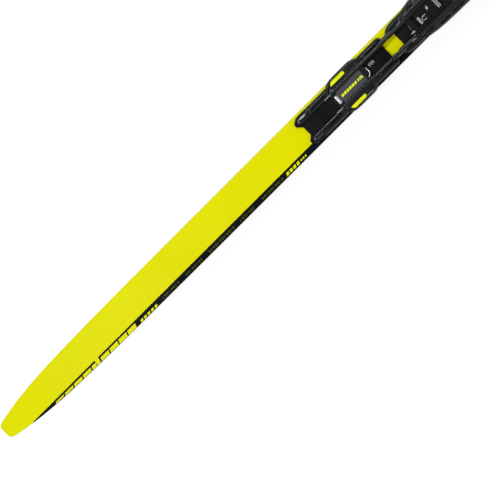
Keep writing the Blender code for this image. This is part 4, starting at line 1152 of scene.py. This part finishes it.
def wire(name, points, radius, sides=12, smooth=4):
    """A round wire along a curve through the points, as a mesh tube with rounded ends."""
    line = [Vector(p) for p in points]
    path = []
    for i in range(len(line) - 1):
        before, after = line[max(i - 1, 0)], line[min(i + 2, len(line) - 1)]
        for k in range(smooth):
            t = k / smooth
            a, b = line[i], line[i + 1]
            path.append(0.5 * (2 * a + (b - before) * t + (2 * before - 5 * a + 4 * b - after)
                               * t * t + (3 * a - before - 3 * b + after) * t ** 3))
    path.append(line[-1])
    rings = []
    side = Vector((0.13, 0.21, 1)).normalized()
    for i, point in enumerate(path):
        ahead = (path[min(i + 1, len(path) - 1)] - path[max(i - 1, 0)]).normalized()
        side = (side - ahead * side.dot(ahead)).normalized()
        other = ahead.cross(side)
        ends = [(point, radius)]
        if i == 0:
            ends = [(point - ahead * radius * 0.7, radius * 0.6), (point, radius)]
        if i == len(path) - 1:
            ends = [(point, radius), (point + ahead * radius * 0.7, radius * 0.6)]
        for middle, r in ends:
            rings.append([
                bind_point(*(middle + (side * math.cos(a) + other * math.sin(a)) * r))
                for a in circle(sides)
            ])
    return loft(name, rings, sharp=60)


def make_wires():
    height = CHANNEL_FLOOR + 0.9
    clip = wire("heel_clip_wire", [
        (101.3, 3.6, height - 1.3), (101.25, 3.2, height - 0.4), (101.15, 2.5, height),
        (101.0, -2.2, height), (100.6, -3.6, height), (99.4, -4.8, height), (97.0, -6.4, height),
    ], 0.5)
    finish_piece(clip, "binding", WIRE, "steel", "heel_wire_clip")
    x, z = LOCK_AXIS
    turns, per_turn, radius, first_y, pitch = 4, 16, 1.9, 4.9, 0.95
    points = [
        (x + radius * math.sin(a), first_y - pitch * a / (2 * math.pi), z + radius * math.cos(a))
        for a in (2 * math.pi * i / per_turn for i in range(turns * per_turn + 1))
    ]
    loop = 8.5
    points += [
        (194.4, 0.7, loop - 0.7), (193.2, 0.1, loop - 0.3), (190.0, -0.6, loop),
        (186.0, -0.9, loop), (184.6, -1.8, loop), (184.2, -3.1, loop), (184.6, -4.4, loop),
        (186.0, -5.2, loop), (189.4, -5.4, loop),
    ]
    spring = wire("lock_torsion_spring", points, 0.32, sides=8, smooth=2)
    finish_piece(spring, "binding", WIRE, "steel", "lock_spring")


def make_rivets_and_screws():
    for side, sign in SIDES:
        rivet = turned(f"side_rivet_{side}_head", (RIVET_PLACE[0], sign * RIVET_PLACE[1]), [
            (0.8, 8.2), (0.8, 10.3), (0.74, 10.6), (0.58, 10.84), (0.36, 10.97), (0.1, 11.0),
        ], 24)
        finish_piece(rivet, "binding", STEEL, "steel", f"side_rivet_{side}")
        place = SCREW_PLACE[0], sign * SCREW_PLACE[1]
        screw = turned(f"jaw_screw_{side}_pan", place, [
            (1.2, 4.5), (1.2, 12.3), (2.0, 12.32), (2.0, 13.3), (1.86, 13.7), (1.5, 13.95),
            (1.1, 14.0),
        ], 36)
        socket = cylinder("socket", place, 0.95, 13.0, 15, segments=6)
        finish_piece(cut(screw, socket), "binding", STEEL, "steel", f"jaw_screw_{side}")


def make_flexor():
    side = [(301.0, 12.4), (299.9, 15.2), (300.4, 18.0), (302.2, 19.8), (305.0, 20.0),
            (313.0, 18.4), (318.6, 15.6), (320.0, 12.4)]
    flexor = prism("flexor_block", rounded(side, 1.2, 4), -12.5, 12.5, "Y")
    grooves = [box(f"groove_{i}", (u, u + 1.1), (-14, 14), (18.9 - 0.55 * i, 22))
               for i, u in enumerate((303.6, 307.0, 310.4))]
    flexor = cut(flexor, *grooves)
    flexor = join(flexor, box("foot", (303, 318), (-8.7, 8.7), (10.5, 13)),
                  box("stem", (306, 316), (-2.4, 2.4), (6.6, 11)))
    bevel(flexor, 0.4, 3)
    finish_piece(flexor, "flexor", RUBBER, "flexor_rubber", "flexor")


def make_knob():
    """The quarter-turn knob: a scalloped rim, a dished face and a waisted finger bar."""
    scallops = 10
    rings = []
    for radius, z in ((15.6, 12.4), (16.2, 12.7), (16.4, 13.2), (16.4, 14.4), (16.1, 15.0),
                      (15.6, 15.3), (14.6, 15.4), (13.4, 15.25), (12.0, 15.0), (10.2, 15.0),
                      (8.4, 15.0), (6.6, 15.0), (4.8, 15.0), (3.0, 15.0)):
        ring = []
        for a in circle(240):
            r = radius
            if radius > 13:
                share = 0.5 + 0.5 * math.cos(scallops * (a - math.pi / scallops))
                r -= 1.3 * share ** 3
            ring.append(bind_point(KNOB_STATION + r * math.cos(a), r * math.sin(a), z))
        rings.append(ring)
    knob = loft("knob_grip", rings)
    bar = []
    for z, grow in ((14.6, 0.5), (15.4, 0.1), (16.6, -0.15), (18.2, -0.1), (18.8, -0.35),
                    (19.0, -0.8)):
        outline = []
        for u, y in slot_outline((KNOB_STATION, 0), 10.4, 3.4 + grow, 16):
            waist = 1 - 0.22 * math.exp(-((u - KNOB_STATION) / 6.0) ** 2)
            outline.append(bind_point(u, y * waist, z))
        bar.append(outline)
    knob = join(knob, loft("finger_bar", bar))
    knob = cut(knob, cylinder("knob_bore", (KNOB_STATION, 0), 1.8, 11, 16.4, segments=32))
    finish_piece(knob, "knob", KNOB_PLASTIC, "binding_plastic", "knob")


# ---- CAD nodes that stay ----

CARRIED = {
    "wood_core": (WOOD, 0), "rear_adhesive_film": (ADHESIVE, 0.1),
    "front_adhesive_film": (ADHESIVE, 0.1), "heel_tongue_pin": (STEEL, 0.1),
    "tongue_leaf_spring": (STEEL, 0.04), "lock_pivot_pin": (STEEL, 0.1),
    "jaw_block": (DARK_STEEL, 0.2), "toe_latch": (STEEL, 0.12), "cam_disc": (DARK_STEEL, 0.1),
    "knob_shaft": (STEEL, 0.1), "shaft_clip": (STEEL, 0.08), "knob_bush": (BRONZE, 0.1),
}


def dress_carried_nodes():
    """The CAD nodes whose shape is right get their material and softened edges."""
    for name, (look, width) in CARRIED.items():
        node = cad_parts[name]
        for slot in node.material_slots:
            slot.material = look
        if width:
            weld = node.modifiers.new("weld", "WELD")
            weld.merge_threshold = 1e-6
            bevel(node, width)


# ---- floor, light and camera ----

def make_floor():
    n = Nodes("studio_floor")
    cloud = n.noise(3, 3)
    n.set(
        Base_Color=n.blend(cloud, (0.20, 0.20, 0.20), (0.22, 0.22, 0.22)), Roughness=0.9,
        Specular_IOR_Level=0.1, Emission_Color=(1.0, 1.0, 1.0), Emission_Strength=0.8,
    )
    bm = bmesh.new()
    bmesh.ops.create_grid(bm, x_segments=8, y_segments=8, size=15.0)
    floor = new_object("studio_floor", bm)
    floor.location.z = -0.0002
    floor.data.materials.append(n.material)


def place_object(name, data, location, rotation):
    obj = bpy.data.objects.new(name, data)
    bpy.context.scene.collection.objects.link(obj)
    obj.location = location
    obj.rotation_mode = "QUATERNION"
    obj.rotation_quaternion = rotation
    return obj


def area_light(name, target, azimuth, elevation, distance, size, power, across=None):
    """A softbox that faces the target. Azimuth 0 is on the +X side and 90 on the +Y side."""
    light = bpy.data.lights.new(name, "AREA")
    light.shape = "RECTANGLE"
    light.size = size
    light.size_y = across or size
    light.energy = power
    a, e = math.radians(azimuth), math.radians(elevation)
    away = Vector((math.cos(a) * math.cos(e), math.sin(a) * math.cos(e), math.sin(e)))
    place_object(name, light, target + away * distance, away.to_track_quat("Z", "Y"))


VIEW_CENTRE = Vector((-0.5138, -0.0494, 0.030))
CAMERA_LEAN = math.radians(1.4)
CAMERA_DISTANCE = 3.117
LIGHT_TARGET = Vector((-0.4, 0, 0.05))

# The studio is brightest halfway up its walls: (height in the sky, grey)
WORLD_STEPS = [(0.3, 0.55), (0.5, 0.9), (0.7, 0.8), (0.85, 0.4), (0.95, 0.18)]


def make_light():
    world = bpy.data.worlds.new("studio")
    world.use_nodes = True
    tree = world.node_tree
    place = tree.nodes.new("ShaderNodeTexCoord")
    split = tree.nodes.new("ShaderNodeSeparateXYZ")
    ramp = tree.nodes.new("ShaderNodeValToRGB")
    tree.links.new(place.outputs["Generated"], split.inputs["Vector"])
    tree.links.new(split.outputs["Z"], ramp.inputs["Fac"])
    tree.links.new(ramp.outputs["Color"], tree.nodes["Background"].inputs["Color"])
    ramp.color_ramp.elements[0].color = (0.3, 0.3, 0.3, 1)
    ramp.color_ramp.elements[1].color = (0.16, 0.16, 0.16, 1)
    for height, grey in WORLD_STEPS:
        ramp.color_ramp.elements.new(height).color = (grey, grey, grey, 1)
    tree.nodes["Background"].inputs["Strength"].default_value = 0.95
    bpy.context.scene.world = world
    area_light("key", LIGHT_TARGET, 90, 66, 2.4, 0.7, 41, 0.3)
    area_light("tail_side", LIGHT_TARGET, 176, 65, 2.4, 0.32, 28)
    area_light("fill", LIGHT_TARGET, 276, 66, 2.6, 0.9, 9)


def make_camera():
    camera = bpy.data.cameras.new("camera")
    camera.type = "PERSP"
    camera.lens = 200
    camera.sensor_width = 36
    camera.clip_end = 20
    back = Vector((0, math.sin(CAMERA_LEAN), math.cos(CAMERA_LEAN)))
    right = Vector((1, -1, 0)).normalized()
    right = (right - back * right.dot(back)).normalized()
    up = back.cross(right)
    rotation = Matrix((right, up, back)).transposed().to_quaternion()
    bpy.context.scene.camera = place_object(
        "camera", camera, VIEW_CENTRE + back * CAMERA_DISTANCE, rotation)


make_topsheet()
make_ski_layers()
make_deck_marks()
make_rear_plate()
make_front_plate()
make_heel()
make_heel_label()
make_heel_tongue()
make_rail_couplers()
make_lock_lever()
make_toe()
make_toe_details()
make_lock_cover()
make_wires()
make_rivets_and_screws()
make_flexor()
make_knob()
dress_carried_nodes()
make_floor()
make_light()
make_camera()
bpy.context.scene.view_settings.view_transform = "Standard"
